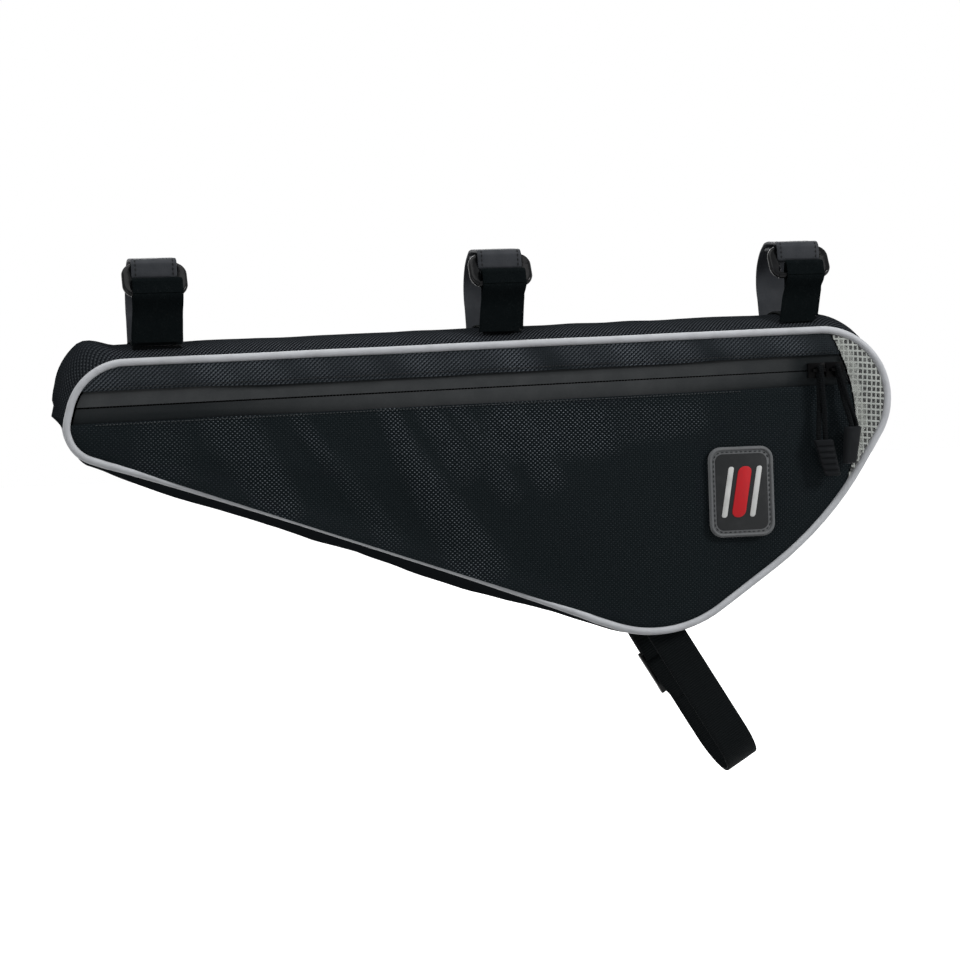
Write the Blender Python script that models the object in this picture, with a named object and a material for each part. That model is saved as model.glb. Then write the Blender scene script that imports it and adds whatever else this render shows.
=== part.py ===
"""Bike frame bag: a wedge-shaped bag that hangs in a bicycle's frame triangle.

Sewn shell with piping, a coated zip with a pair of sliders, a clear scrim window, hook-and-loop
straps round the top tube and a webbing strap with a ladder lock round the lower tube.

Frame: the origin is on the top tube's axis at the middle strap, +X runs along the tube to the bag's
deep end, +Z is up and +Y points away from the zip side. Lengths are in metres.
"""

import math

import bmesh
import bpy
from mathutils import Matrix, Vector
from mathutils.geometry import delaunay_2d_cdt

MM = 0.001
CLEARANCE = 0.3 * MM  # kept between pieces that touch on the real bag

# Tubes the bag hangs on
TOP_TUBE_DIAMETER = 34.9 * MM
LOWER_TUBE_DIAMETER = 34.9 * MM
LOWER_TUBE_ANGLE = math.radians(45.7)  # rise of the lower tube towards +X

# Panel outline: the corners of the wedge as (x, z), and the radius of each rounded corner
NOSE_TOP = (-224.6 * MM, -31.7 * MM)
NOSE_TOP_RADIUS = 30.0 * MM
REAR_TOP = (237.5 * MM, -25.5 * MM)
REAR_TOP_RADIUS = 36.5 * MM
REAR_LOW = (171.0 * MM, -130.2 * MM)
REAR_LOW_RADIUS = 184.0 * MM
KEEL = (82.5 * MM, -190.5 * MM)
KEEL_RADIUS = 64.0 * MM
NOSE_LOW = (-236.2 * MM, -74.9 * MM)
NOSE_LOW_RADIUS = 17.7 * MM

# Shell
BAG_DEPTH = 56.0 * MM  # between the centre lines of the two pipings
FABRIC = 1.4 * MM
PANEL_PROUD = 1.0 * MM  # how far a panel's face stands in front of the piping's centre
PANEL_CROWN = 3.0 * MM
CROWN_REACH = 30.0 * MM
GUSSET_BULGE = 4.0 * MM
GUSSET_TOP_BULGE = 9.5 * MM
LOWER_SAG = 1.1 * MM  # of the side band below the long lower edge, beyond its bulge
NOSE_SIDE_BULGE = 1.5 * MM
NOSE_TOP_BULGE = 18.0 * MM  # at the nose's top corner, which is pulled up to the tube
NOSE_SWELL_END = 21.6 * MM  # from that corner along the top
NOSE_SWELL_FADE = 13.0 * MM
GUSSET_ROUNDNESS = 2.4
PIPING_DIAMETER = 3.9 * MM
PIPING_FLANGE = 0.7 * MM  # thickness of the tape that is sewn into the seam
SEAM_ALLOWANCE = 4.0 * MM
OUTLINE_STEP = math.radians(11)
STRAIGHT_STEP = 34.0 * MM
PANEL_GRID = 16.0 * MM
GUSSET_STATIONS = 8

# Zip
ZIP_HEIGHT = -50.5 * MM  # where its line crosses x = 0
ZIP_SLOPE = math.radians(0.855)
ZIP_SLOT = 16.4 * MM  # between the edges of the two panels
ZIP_SLIT = 1.4 * MM  # between the two tapes
TAPE_WIDTH = 13.5 * MM
TAPE_THICKNESS = 1.0 * MM
TOOTH_PITCH = 3.4 * MM
TOOTH_WIDTH = 1.3 * MM
TOOTH_REACH = 0.9 * MM  # past the zip's centre line
TEETH_SPINE = 1.4 * MM
TEETH_DEPTH = 1.8 * MM
STOP_LENGTH = 3.0 * MM
STOP_INSET = 1.0 * MM  # from the tapes' nose end

# Sliders and their pulls
SLIDER_LENGTH = 9.6 * MM
SLIDER_WIDTH = 8.0 * MM
SLIDER_PLATE = 1.5 * MM
SLIDER_LIP = 1.0 * MM
SLIDER_POST = 0.8 * MM
SLIDER_GAP = 0.4 * MM  # between the parked pair
BRIDGE_BAR = 1.2 * MM
BRIDGE_SPAN = 7.6 * MM
BRIDGE_LEG = 1.4 * MM
BRIDGE_WIDTH = 1.6 * MM
CORD_DIAMETER = 1.8 * MM
CORD_DROP = 37.0 * MM  # from the bridge to the grip's top
GRIP_LENGTH = 20.0 * MM
GRIP_TOP_WIDTH = 10.4 * MM
GRIP_END_WIDTH = 8.6 * MM
GRIP_THICKNESS = 5.0 * MM
GRIP_RIBS = 5
GRIP_RIB_DEPTH = 0.7 * MM
GRIP_BORE_DEPTH = 3.0 * MM
GRIP_CORD_SPREAD = 5.0 * MM
GRIP_Y = -36.8 * MM

# Window
WINDOW_EDGE_RADIUS = 91.3 * MM
WINDOW_EDGE_CENTRE = (97.0 * MM, -75.2 * MM)
WINDOW_FILM = 0.8 * MM
WINDOW_EDGE_STEPS = 12

# Patch on the lower panel
PATCH_CENTRE = (122.0 * MM, -111.0 * MM)
PATCH_SIZE = (36.0 * MM, 48.0 * MM)
PATCH_RADIUS = 7.0 * MM
PATCH_THICKNESS = 1.2 * MM
PATCH_RIM = 2.4 * MM
PATCH_RECESS = 0.4 * MM

# Straps round the top tube, from the bag's shallow end to its deep end
TUBE_STRAPS = {"front": -184.0 * MM, "middle": -2.0 * MM, "rear": 162.5 * MM}
WEBBING_WIDTH = 25.4 * MM
WEBBING = 1.6 * MM
STRAP_SLACK = 0.35 * MM  # between the tube and the webbing
RING_BAR = 3.0 * MM
RING_WIDTH = 34.0 * MM  # over the outside
RING_HEIGHT = 19.2 * MM
RING_CORNER = 5.0 * MM
RING_LEAN = math.radians(150)  # place round the tube, from +Y over the top
BASE_REACH = 18.0 * MM  # each way from the middle of the gusset
BASE_THICKNESS = 1.2 * MM
BASE_SLOPE = 0.6  # of the base's arch, under a leg's end
BAND_FOLD_DROP = 5.3 * MM  # from the ring's upper bar to the fold of the band's sewn end
HOOK_LEG_TOP = 165  # degrees round the tube, where the leg leaves it for the ring
LEG_LOOP_RISE = 7.3 * MM  # of the leg's stiff loop over the ring's lower bar
LEG_LOOP_RADIUS = 2.2 * MM
LEG_LOOP_SHIFT = 0.6 * MM
LEG_FOOT = 17.5 * MM  # where both legs are sewn on, each way from the middle
TAIL_END = -21.5 * MM
TAIL_HINGE_GAP = 0.6 * MM

# Strap round the lower tube
LOWER_STRAP_TOP = (79.7 * MM, -184.9 * MM)
LOWER_STRAP_ANGLE = math.radians(59)  # below the horizontal
LOWER_TUBE_DROP = 67.4 * MM  # from the top of the strap to the tube's axis
LOCK_START = 11.5 * MM
LOCK_LENGTH = 26.0 * MM
LOCK_WIDTH = 31.5 * MM
LOCK_THICKNESS = 3.2 * MM
LOCK_SLOT = 27.0 * MM
FREE_END = 24.0 * MM  # webbing below the lock

HALF_DEPTH = BAG_DEPTH / 2
PIPING_RADIUS = PIPING_DIAMETER / 2
PANEL_INSET = PIPING_RADIUS + CLEARANCE
FRONT_FACE = -HALF_DEPTH - PANEL_PROUD
FRONT_BACK = FRONT_FACE + FABRIC
TAPE_FRONT = FRONT_BACK + CLEARANCE
TAPE_BACK = TAPE_FRONT + TAPE_THICKNESS
TEETH_FRONT = TAPE_BACK + CLEARANCE
TEETH_BACK = TEETH_FRONT + TEETH_DEPTH
GUSSET_HALF = HALF_DEPTH - PIPING_RADIUS - CLEARANCE
TUBE_RADIUS = TOP_TUBE_DIAMETER / 2


def clear_scene():
    for obj in list(bpy.data.objects):
        bpy.data.objects.remove(obj, do_unlink=True)


def material(name, colour, roughness, metallic=0.0, alpha=1.0):
    mat = bpy.data.materials.new(name)
    mat.use_nodes = True
    shader = mat.node_tree.nodes["Principled BSDF"]
    shader.inputs["Base Color"].default_value = (*colour, 1.0)
    shader.inputs["Roughness"].default_value = roughness
    shader.inputs["Metallic"].default_value = metallic
    shader.inputs["Alpha"].default_value = alpha
    return mat


def add_mesh(name, verts, faces, mat, smooth_angle=None):
    """A named object from points and faces, with its faces turned outwards."""
    bm = bmesh.new()
    made = [bm.verts.new(v) for v in verts]
    for face in faces:
        bm.faces.new([made[i] for i in face])
    bmesh.ops.recalc_face_normals(bm, faces=bm.faces)
    mesh = bpy.data.meshes.new(name)
    bm.to_mesh(mesh)
    bm.free()
    if smooth_angle is not None:
        mesh.shade_smooth()
        mesh.set_sharp_from_angle(angle=smooth_angle)
    obj = bpy.data.objects.new(name, mesh)
    obj.data.materials.append(mat)
    bpy.context.collection.objects.link(obj)
    return obj


def boolean(obj, other, operation):
    """Adds or cuts another solid, which stays in the file as a guide."""
    other.hide_render = True
    other.display_type = "WIRE"
    mod = obj.modifiers.new(operation.title(), "BOOLEAN")
    mod.operation = operation
    mod.solver = "EXACT"
    mod.object = other


def turn_about(obj, point):
    """Puts the object's origin on its joint's axis and leaves its shape where it is."""
    obj.data.transform(Matrix.Translation(-point))
    obj.location = point


def ring_faces(loops, points, closed):
    """Quads between neighbouring loops of as many points; closed joins the last loop to the first."""
    faces = []
    for i in range(loops if closed else loops - 1):
        a, b = i * points, (i + 1) % loops * points
        for j in range(points):
            k = (j + 1) % points
            faces.append((a + j, a + k, b + k, b + j))
    return faces


def loft(name, sections, mat, smooth_angle=None):
    """A solid through cross-sections of as many points each, with flat ends."""
    count = len(sections[0])
    verts = [p for section in sections for p in section]
    faces = ring_faces(len(sections), count, closed=False)
    faces.append(tuple(range(count)))
    faces.append(tuple(range(len(verts) - count, len(verts))))
    return add_mesh(name, verts, faces, mat, smooth_angle)


def prism(name, outline, low, high, place, mat):
    """A flat outline of (a, b) points, extruded from low to high; place turns (a, b, h) into a point."""
    sections = [[place(a, b, h) for a, b in outline] for h in (low, high)]
    return loft(name, sections, mat)


def arc(centre, radius, start, end, steps):
    """Points on a circle, from one angle to the other in degrees."""
    points = []
    for i in range(steps + 1):
        angle = math.radians(start + (end - start) * i / steps)
        points.append((centre[0] + radius * math.cos(angle), centre[1] + radius * math.sin(angle)))
    return points


def rounded_rectangle(width, height, radius, steps=4):
    corners = []
    for turn, (sx, sy) in enumerate(((1, 1), (-1, 1), (-1, -1), (1, -1))):
        centre = (sx * (width / 2 - radius), sy * (height / 2 - radius))
        corners += arc(centre, radius, 90 * turn, 90 * turn + 90, steps)
    return corners


def outline(inset=0.0):
    """The bag's outline as (x, z, normal x, normal z), clockwise from the nose, drawn in by inset."""
    corners = (
        (NOSE_TOP, NOSE_TOP_RADIUS),
        (REAR_TOP, REAR_TOP_RADIUS),
        (REAR_LOW, REAR_LOW_RADIUS),
        (KEEL, KEEL_RADIUS),
        (NOSE_LOW, NOSE_LOW_RADIUS),
    )
    points = []
    for i, (corner, radius) in enumerate(corners):
        corner = Vector(corner)
        to_last = (Vector(corners[i - 1][0]) - corner).normalized()
        to_next = (Vector(corners[(i + 1) % len(corners)][0]) - corner).normalized()
        half = to_last.angle(to_next) / 2
        centre = corner + (to_last + to_next).normalized() * radius / math.sin(half)
        first = Vector((to_last.y, -to_last.x))
        if first.dot(centre - corner) > 0:
            first.negate()
        turn = math.pi - 2 * half
        steps = max(2, math.ceil(turn / OUTLINE_STEP))
        start = math.atan2(first.y, first.x)
        for k in range(steps + 1):
            angle = start - turn * k / steps
            normal = Vector((math.cos(angle), math.sin(angle)))
            points.append((*(centre + normal * (radius - inset)), *normal))
    return with_straights_divided(points)


def with_straights_divided(points):
    out = []
    for a, b in zip(points, points[1:] + points[:1]):
        length = math.hypot(b[0] - a[0], b[1] - a[1])
        parts = max(1, round(length / STRAIGHT_STEP))
        for k in range(parts):
            out.append(tuple(p + (q - p) * k / parts for p, q in zip(a, b)))
    return out


def zip_line(x):
    return ZIP_HEIGHT + math.tan(ZIP_SLOPE) * x


def above_zip(offset):
    """Measure of how far a point lies above the zip's line, less offset."""
    return lambda p: (p[1] - zip_line(p[0])) * math.cos(ZIP_SLOPE) - offset


def below_zip(offset):
    return lambda p: -(p[1] - zip_line(p[0])) * math.cos(ZIP_SLOPE) - offset


def inside_window_edge(shift):
    """Half planes along the window's round inner edge, moved outwards by shift."""
    radius = WINDOW_EDGE_RADIUS + shift
    cx, cz = WINDOW_EDGE_CENTRE
    points = arc((cx, cz), radius, -48, 48, WINDOW_EDGE_STEPS)
    planes = []
    for (ax, az), (bx, bz) in zip(points, points[1:]):
        length = math.hypot(bx - ax, bz - az)
        nx, nz = -(bz - az) / length, (bx - ax) / length
        planes.append(lambda p, ax=ax, az=az, nx=nx, nz=nz: (p[0] - ax) * nx + (p[1] - az) * nz)
    return planes


def window_edge_x(z):
    cx, cz = WINDOW_EDGE_CENTRE
    return cx + math.sqrt(WINDOW_EDGE_RADIUS**2 - (z - cz) ** 2)


def clip(loop, planes):
    """The part of a convex loop on the positive side of every half plane."""
    for side in planes:
        kept = []
        for a, b in zip(loop, loop[1:] + loop[:1]):
            sa, sb = side(a), side(b)
            if sa >= 0:
                kept.append(a)
            if (sa >= 0) != (sb >= 0):
                t = sa / (sa - sb)
                kept.append((a[0] + (b[0] - a[0]) * t, a[1] + (b[1] - a[1]) * t))
        loop = kept
    return without_doubles(loop)


def without_doubles(loop, least=0.5 * MM):
    kept = []
    for p in loop:
        if not kept or math.dist(p, kept[-1]) > least:
            kept.append(p)
    if math.dist(kept[0], kept[-1]) <= least:
        kept.pop()
    return kept


def edge_distance(p, loop):
    """Distance from a point to the nearest side of a loop."""
    best = math.inf
    for a, b in zip(loop, loop[1:] + loop[:1]):
        dx, dz = b[0] - a[0], b[1] - a[1]
        t = ((p[0] - a[0]) * dx + (p[1] - a[1]) * dz) / (dx * dx + dz * dz)
        t = min(1.0, max(0.0, t))
        best = min(best, math.hypot(p[0] - a[0] - t * dx, p[1] - a[1] - t * dz))
    return best


def inside(p, loop):
    hit = False
    for a, b in zip(loop, loop[1:] + loop[:1]):
        if (a[1] > p[1]) != (b[1] > p[1]):
            if p[0] < a[0] + (b[0] - a[0]) * (p[1] - a[1]) / (b[1] - a[1]):
                hit = not hit
    return hit


def grid_inside(loop, step):
    """Points of a triangular grid that lie well inside a loop."""
    xs = [p[0] for p in loop]
    zs = [p[1] for p in loop]
    points = []
    row = 0
    z = min(zs) + step / 2
    while z < max(zs):
        x = min(xs) + (step / 2 if row % 2 else step)
        while x < max(xs):
            if inside((x, z), loop) and edge_distance((x, z), loop) > step * 0.45:
                points.append((x, z))
            x += step
        z += step * 0.87
        row += 1
    return points


def panel(name, loop, face, thickness, crown, mat, grid=PANEL_GRID):
    """A sewn sheet: flat along its edges at y = face, and crowned outwards inside them."""
    flat = [Vector(p) for p in loop + grid_inside(loop, grid)]
    sides = [list(range(len(loop)))]
    flat, _, tris, *_ = delaunay_2d_cdt(flat, [], sides, 1, 1e-6)
    outward = -1 if face < 0 else 1
    count = len(flat)
    outer, inner = [], []
    for p in flat:
        rise = crown * (1 - math.exp(-((edge_distance(p, loop) / CROWN_REACH) ** 2)))
        y = face + outward * rise
        outer.append((p.x, y, p.y))
        inner.append((p.x, y - outward * thickness, p.y))
    faces = [tuple(t) for t in tris]
    faces += [tuple(count + i for i in reversed(t)) for t in tris]
    seen = {}
    for t in tris:
        for a, b in zip(t, [*t[1:], t[0]]):
            seen[(a, b)] = True
    for a, b in seen:
        if (b, a) not in seen:
            faces.append((a, b, count + b, count + a))
    return add_mesh(name, outer + inner, faces, mat)


def ribbon(name, path, place, mat, width=WEBBING_WIDTH, thickness=WEBBING, skew=(0.0, 0.0)):
    """Webbing along a path of (a, b) points; place turns (a, b, across) into a point.

    skew slants the first and the last end: the slope of that end across the webbing.
    """
    sections = []
    last = len(path) - 1
    for i, p in enumerate(path):
        before = Vector(path[max(i - 1, 0)])
        after = Vector(path[min(i + 1, last)])
        along = (after - before).normalized()
        normal = Vector((-along.y, along.x)) * thickness / 2
        slope = skew[0] if i == 0 else skew[1] if i == last else 0.0
        section = []
        for side, sign in ((-1, -1), (1, -1), (1, 1), (-1, 1)):
            across = side * width / 2
            a, b = Vector(p) + normal * sign + along * slope * across
            section.append(place(a, b, across))
        sections.append(section)
    return loft(name, sections, mat)


def closed_tube(name, path, radius, sides, mat):
    """A round bar along a closed path of 3-D points."""
    sections = []
    count = len(path)
    plane = (path[1] - path[0]).cross(path[count // 2] - path[0]).normalized()
    for i in range(count):
        along = (path[(i + 1) % count] - path[i - 1]).normalized()
        out = along.cross(plane)
        for k in range(sides):
            angle = 2 * math.pi * k / sides
            sections.append(path[i] + (out * math.cos(angle) + plane * math.sin(angle)) * radius)
    return add_mesh(name, sections, ring_faces(count, sides, closed=True), mat, math.radians(50))


def cord(name, points, diameter, mat):
    """A round cord along a poly line, with closed ends."""
    curve = bpy.data.curves.new(name, "CURVE")
    curve.dimensions = "3D"
    curve.bevel_depth = diameter / 2
    curve.bevel_resolution = 2
    curve.use_fill_caps = True
    curve.render_resolution_u = 0
    spline = curve.splines.new("POLY")
    spline.points.add(len(points) - 1)
    for point, p in zip(spline.points, points):
        point.co = (*p, 1.0)
    curve.materials.append(mat)
    obj = bpy.data.objects.new(name, curve)
    bpy.context.collection.objects.link(obj)
    return obj


def cylinder(name, start, end, radius, sides=10):
    along = Vector(end) - Vector(start)
    turn = along.to_track_quat("Z", "Y").to_matrix()
    sections = []
    for at in (start, end):
        section = []
        for k in range(sides):
            angle = 2 * math.pi * k / sides
            offset = turn @ Vector((math.cos(angle), math.sin(angle), 0)) * radius
            section.append(Vector(at) + offset)
        sections.append(section)
    return loft(name, sections, COLOURS["guide"])


def lower_sag(x, normal_z):
    """How far the side band hangs below the long lower edge, at this place along it."""
    start, end = NOSE_LOW[0], KEEL[0] - KEEL_RADIUS / 2
    if normal_z > 0 or not start < x < end:
        return 0.0
    return LOWER_SAG * math.sin(math.pi * (x - start) / (end - start))


def middle_bulge(x, normal_z):
    """How far the middle of the side band stands out at this place of the outline."""
    upward = max(0.0, normal_z)
    rear = GUSSET_BULGE + (GUSSET_TOP_BULGE - GUSSET_BULGE) * upward**3 + lower_sag(x, normal_z)
    nose = NOSE_SIDE_BULGE + (NOSE_TOP_BULGE - NOSE_SIDE_BULGE) * upward
    past = (x - NOSE_TOP[0] - NOSE_SWELL_END) / NOSE_SWELL_FADE + 1
    share = min(1.0, max(0.0, past))
    share *= share * (3 - 2 * share)
    return nose + (rear - nose) * share


def gusset_bulge(x, y, normal_z):
    """How far the side band stands out beyond the outline."""
    return middle_bulge(x, normal_z) * (1 - min(1.0, abs(y) / GUSSET_HALF) ** GUSSET_ROUNDNESS)


def make_gusset():
    stations = []
    for k in range(GUSSET_STATIONS + 1):
        stations.append(-GUSSET_HALF * math.cos(math.pi * k / GUSSET_STATIONS))
    verts = []
    loop = outline()
    for x, z, nx, nz in loop:
        outer = []
        inner = []
        for y in stations:
            out = gusset_bulge(x, y, nz)
            outer.append((x + nx * out, y, z + nz * out))
            out -= FABRIC
            inner.append((x + nx * out, y, z + nz * out))
        verts += outer + inner[::-1]
    faces = ring_faces(len(loop), 2 * len(stations), closed=True)
    add_mesh("gusset", verts, faces, COLOURS["nylon"])


def make_piping(name, side):
    """Round cord with its flat seam tape, all round the edge; side is -1 in front and 1 behind."""
    loop = outline()
    verts = []
    tape_front = HALF_DEPTH + PANEL_PROUD - FABRIC - CLEARANCE
    tape_back = tape_front - PIPING_FLANGE
    section = []
    start = math.degrees(math.asin((HALF_DEPTH - tape_back) / PIPING_RADIUS))
    end = math.degrees(math.asin((HALF_DEPTH - tape_front) / PIPING_RADIUS))
    # The round runs the long way from the tape's back to its front, seen with +a outwards.
    for a, b in arc((0.0, 0.0), PIPING_RADIUS, 180 + start, 540 + end, 9):
        section.append((a, HALF_DEPTH + b))
    section.append((-SEAM_ALLOWANCE, tape_front))
    section.append((-SEAM_ALLOWANCE, tape_back))
    for x, z, nx, nz in loop:
        for out, y in section:
            verts.append((x + nx * out, side * y, z + nz * out))
    faces = ring_faces(len(loop), len(section), closed=True)
    add_mesh(name, verts, faces, COLOURS["piping"], math.radians(60))


def panel_loop(planes, inset=PANEL_INSET):
    return clip([(x, z) for x, z, _, _ in outline(inset)], planes)


def make_panels():
    slot = ZIP_SLOT / 2
    edge = inside_window_edge(-CLEARANCE / 2)
    upper = panel_loop([above_zip(slot), *edge])
    panel("front_panel_upper", upper, FRONT_FACE, FABRIC, PANEL_CROWN, COLOURS["nylon"])
    lower = panel_loop([below_zip(slot), *edge])
    panel("front_panel_lower", lower, FRONT_FACE, FABRIC, PANEL_CROWN, COLOURS["nylon"])
    back = panel_loop([])
    panel("back_panel", back, -FRONT_FACE, FABRIC, 0.0, COLOURS["nylon"], grid=3 * PANEL_GRID)


def make_window():
    """Crescent of clear film between the panels' round edge and the piping."""
    cx, cz = WINDOW_EDGE_CENTRE
    radius = WINDOW_EDGE_RADIUS + CLEARANCE / 2
    loop = [(x, z) for x, z, _, _ in outline(PANEL_INSET)]

    def beyond(p):
        return math.hypot(p[0] - cx, p[1] - cz) - radius if p[0] > cx else -1.0

    run = []
    start = next(i for i in range(len(loop)) if beyond(loop[i]) > 0 and beyond(loop[i - 1]) <= 0)
    for k in range(len(loop)):
        p = loop[(start + k) % len(loop)]
        if beyond(p) <= 0:
            break
        run.append(p)
    before = loop[start - 1]
    after = loop[(start + len(run)) % len(loop)]
    run.insert(0, crossing(before, run[0], beyond))
    run.append(crossing(after, run[-1], beyond))
    top = math.degrees(math.atan2(run[0][1] - cz, run[0][0] - cx))
    low = math.degrees(math.atan2(run[-1][1] - cz, run[-1][0] - cx))
    run += arc((cx, cz), radius, low, top, WINDOW_EDGE_STEPS)[1:-1]
    crescent = without_doubles(run)
    panel("window", crescent, FRONT_FACE, WINDOW_FILM, 0.0, COLOURS["film"], grid=11 * MM)


def crossing(a, b, measure):
    """Point between a and b where measure changes sign."""
    low, high = 0.0, 1.0
    for _ in range(40):
        mid = (low + high) / 2
        p = (a[0] + (b[0] - a[0]) * mid, a[1] + (b[1] - a[1]) * mid)
        if (measure(p) > 0) == (measure(b) > 0):
            high = mid
        else:
            low = mid
    return p


def zip_point(along, y, up):
    """A point from its place along the zip, its depth y and its height above the zip's line."""
    c, s = math.cos(ZIP_SLOPE), math.sin(ZIP_SLOPE)
    return Vector((along * c - up * s, y, ZIP_HEIGHT + along * s + up * c))


def make_tapes():
    edge = inside_window_edge(-CLEARANCE / 2)
    inset = SEAM_ALLOWANCE + CLEARANCE
    for name, near, far in (("upper", above_zip, below_zip), ("lower", below_zip, above_zip)):
        planes = [near(ZIP_SLIT / 2), far(-ZIP_SLIT / 2 - TAPE_WIDTH), *edge]
        loop = panel_loop(planes, inset)
        panel(f"zip_tape_{name}", loop, TAPE_FRONT, TAPE_THICKNESS, 0.0, COLOURS["tape"], 60 * MM)


def zip_ends():
    """Where the zip's tapes start and end, along its line."""
    loop = panel_loop([above_zip(ZIP_SLIT / 2)], SEAM_ALLOWANCE + CLEARANCE)
    nose = min(p[0] for p in loop if abs(above_zip(ZIP_SLIT / 2)(p)) < 0.1 * MM)
    rear = window_edge_x(zip_line(WINDOW_EDGE_CENTRE[0] + WINDOW_EDGE_RADIUS) + SLIDER_WIDTH / 2)
    return nose / math.cos(ZIP_SLOPE), rear / math.cos(ZIP_SLOPE)


def slider_starts():
    """The left ends of the two parked sliders, left one first."""
    _, rear = zip_ends()
    right = rear - 0.6 * MM - SLIDER_LENGTH
    return right - SLIDER_GAP - SLIDER_LENGTH, right


def make_teeth():
    """Two meshing rows of teeth on the back of the tapes, from the left stop to the sliders."""
    nose, _ = zip_ends()
    first = nose + STOP_INSET + STOP_LENGTH + TOOTH_WIDTH
    last = slider_starts()[0] - CLEARANCE
    count = int((last - first) / TOOTH_PITCH)
    root = TOOTH_REACH + CLEARANCE
    for name, side, shift in (("upper", 1, 0.0), ("lower", -1, TOOTH_PITCH / 2)):
        comb = []
        for k in range(count):
            at = first + k * TOOTH_PITCH + shift
            end = at + TOOTH_WIDTH
            comb += [(at, root), (at, -TOOTH_REACH), (end, -TOOTH_REACH), (end, root)]
        comb += [(comb[-1][0], root + TEETH_SPINE), (comb[0][0], root + TEETH_SPINE)]

        def place(a, b, h, side=side):
            return zip_point(a, h, side * b)

        prism(f"zip_teeth_{name}", comb, TEETH_FRONT, TEETH_BACK, place, COLOURS["teeth"])


def make_stop():
    """Block across the zip's nose end, which the left slider runs up to."""
    start = zip_ends()[0] + STOP_INSET
    end = start + STOP_LENGTH
    half = SLIDER_WIDTH / 2
    block = [(start, -half), (end, -half), (end, half), (start, half)]

    def place(a, b, h):
        return zip_point(a, h, b)

    prism("zip_stop_nose", block, TEETH_FRONT, TEETH_BACK, place, COLOURS["teeth"])


def slider_profile():
    """Cross-section of a slider as (y, up): two plates joined by a thin post, with lips round the teeth."""
    front = TAPE_FRONT - CLEARANCE
    lip_front = TAPE_BACK + CLEARANCE
    back = TEETH_BACK + CLEARANCE
    half = SLIDER_WIDTH / 2
    post = SLIDER_POST / 2
    lip = half - SLIDER_LIP
    right = [
        (front, half),
        (front, post),
        (back, post),
        (back, lip),
        (lip_front, lip),
        (lip_front, half),
        (back + SLIDER_PLATE, half),
    ]
    left = [(y, -up) for y, up in reversed(right)]
    return [(front - SLIDER_PLATE, half), *right, *left, (front - SLIDER_PLATE, -half)]


def bridge_place(start):
    """Where the cord goes through a slider's bridge: along the zip, and the bar's middle in y."""
    plate = TAPE_FRONT - CLEARANCE - SLIDER_PLATE
    inner = plate - CORD_DIAMETER - 2.5 * CLEARANCE
    return start + SLIDER_LENGTH / 2 + 0.8 * MM, inner - BRIDGE_BAR / 2


def make_slider(side, start):
    """A slider that starts at this place along the zip, with the cord and grip of its pull."""
    body = prism(
        f"zip_slider_{side}",
        slider_profile(),
        start,
        start + SLIDER_LENGTH,
        lambda y, up, a: zip_point(a, y, up),
        COLOURS["slider"],
    )
    middle, bar = bridge_place(start)
    plate = TAPE_FRONT - CLEARANCE - SLIDER_PLATE + 0.5 * MM
    outer = bar - BRIDGE_BAR / 2
    inner = bar + BRIDGE_BAR / 2
    half = BRIDGE_SPAN / 2
    arch = [
        (middle - half, plate),
        (middle - half, outer + 0.8 * MM),
        (middle - half + 0.8 * MM, outer),
        (middle + half - 0.8 * MM, outer),
        (middle + half, outer + 0.8 * MM),
        (middle + half, plate),
        (middle + half - BRIDGE_LEG, plate),
        (middle + half - BRIDGE_LEG, inner),
        (middle - half + BRIDGE_LEG, inner),
        (middle - half + BRIDGE_LEG, plate),
    ]
    bridge = prism(
        f"guide_bridge_{side}",
        arch,
        -BRIDGE_WIDTH / 2,
        BRIDGE_WIDTH / 2,
        lambda a, y, up: zip_point(a, y, up),
        COLOURS["guide"],
    )
    boolean(body, bridge, "UNION")
    turn_about(body, zip_point(middle, bar, 0.0))


def make_pull(side, start, lean, turn):
    """Cord loop and grip; lean is how far the grip hangs to the right, turn its twist about its length."""
    middle, bar = bridge_place(start)
    top = zip_point(middle, bar, 0.0)
    wrap = BRIDGE_BAR / 2 + CLEARANCE * 1.6 + CORD_DIAMETER / 2
    grip_top = Vector((top.x + lean, GRIP_Y, top.z - CORD_DROP))
    along = Vector((lean, 0.0, -CORD_DROP)).normalized()
    across = Matrix.Rotation(turn, 3, along) @ Vector((1.0, 0.0, 0.0))
    spread = across * GRIP_CORD_SPREAD / 2
    seat = along * (GRIP_BORE_DEPTH - CLEARANCE * 2)
    behind = top + Vector((0, wrap, 0))
    front = top + Vector((0, -wrap, 0))
    points = [grip_top - spread + seat, grip_top - spread - along * 2 * MM]
    points += [behind.lerp(grip_top - spread, 0.55), behind.lerp(grip_top - spread, 0.2)]
    for angle in range(0, 181, 30):
        turned = math.radians(angle)
        points.append(top + Vector((0, wrap * math.cos(turned), wrap * math.sin(turned))))
    points += [front.lerp(grip_top + spread, 0.2), front.lerp(grip_top + spread, 0.55)]
    points += [grip_top + spread - along * 2 * MM, grip_top + spread + seat]
    loop = cord(f"pull_cord_{side}", points, CORD_DIAMETER, COLOURS["cord"])
    turn_about(loop, top)
    grip = make_grip(side, grip_top, along, across)
    turn_about(grip, top)


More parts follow.
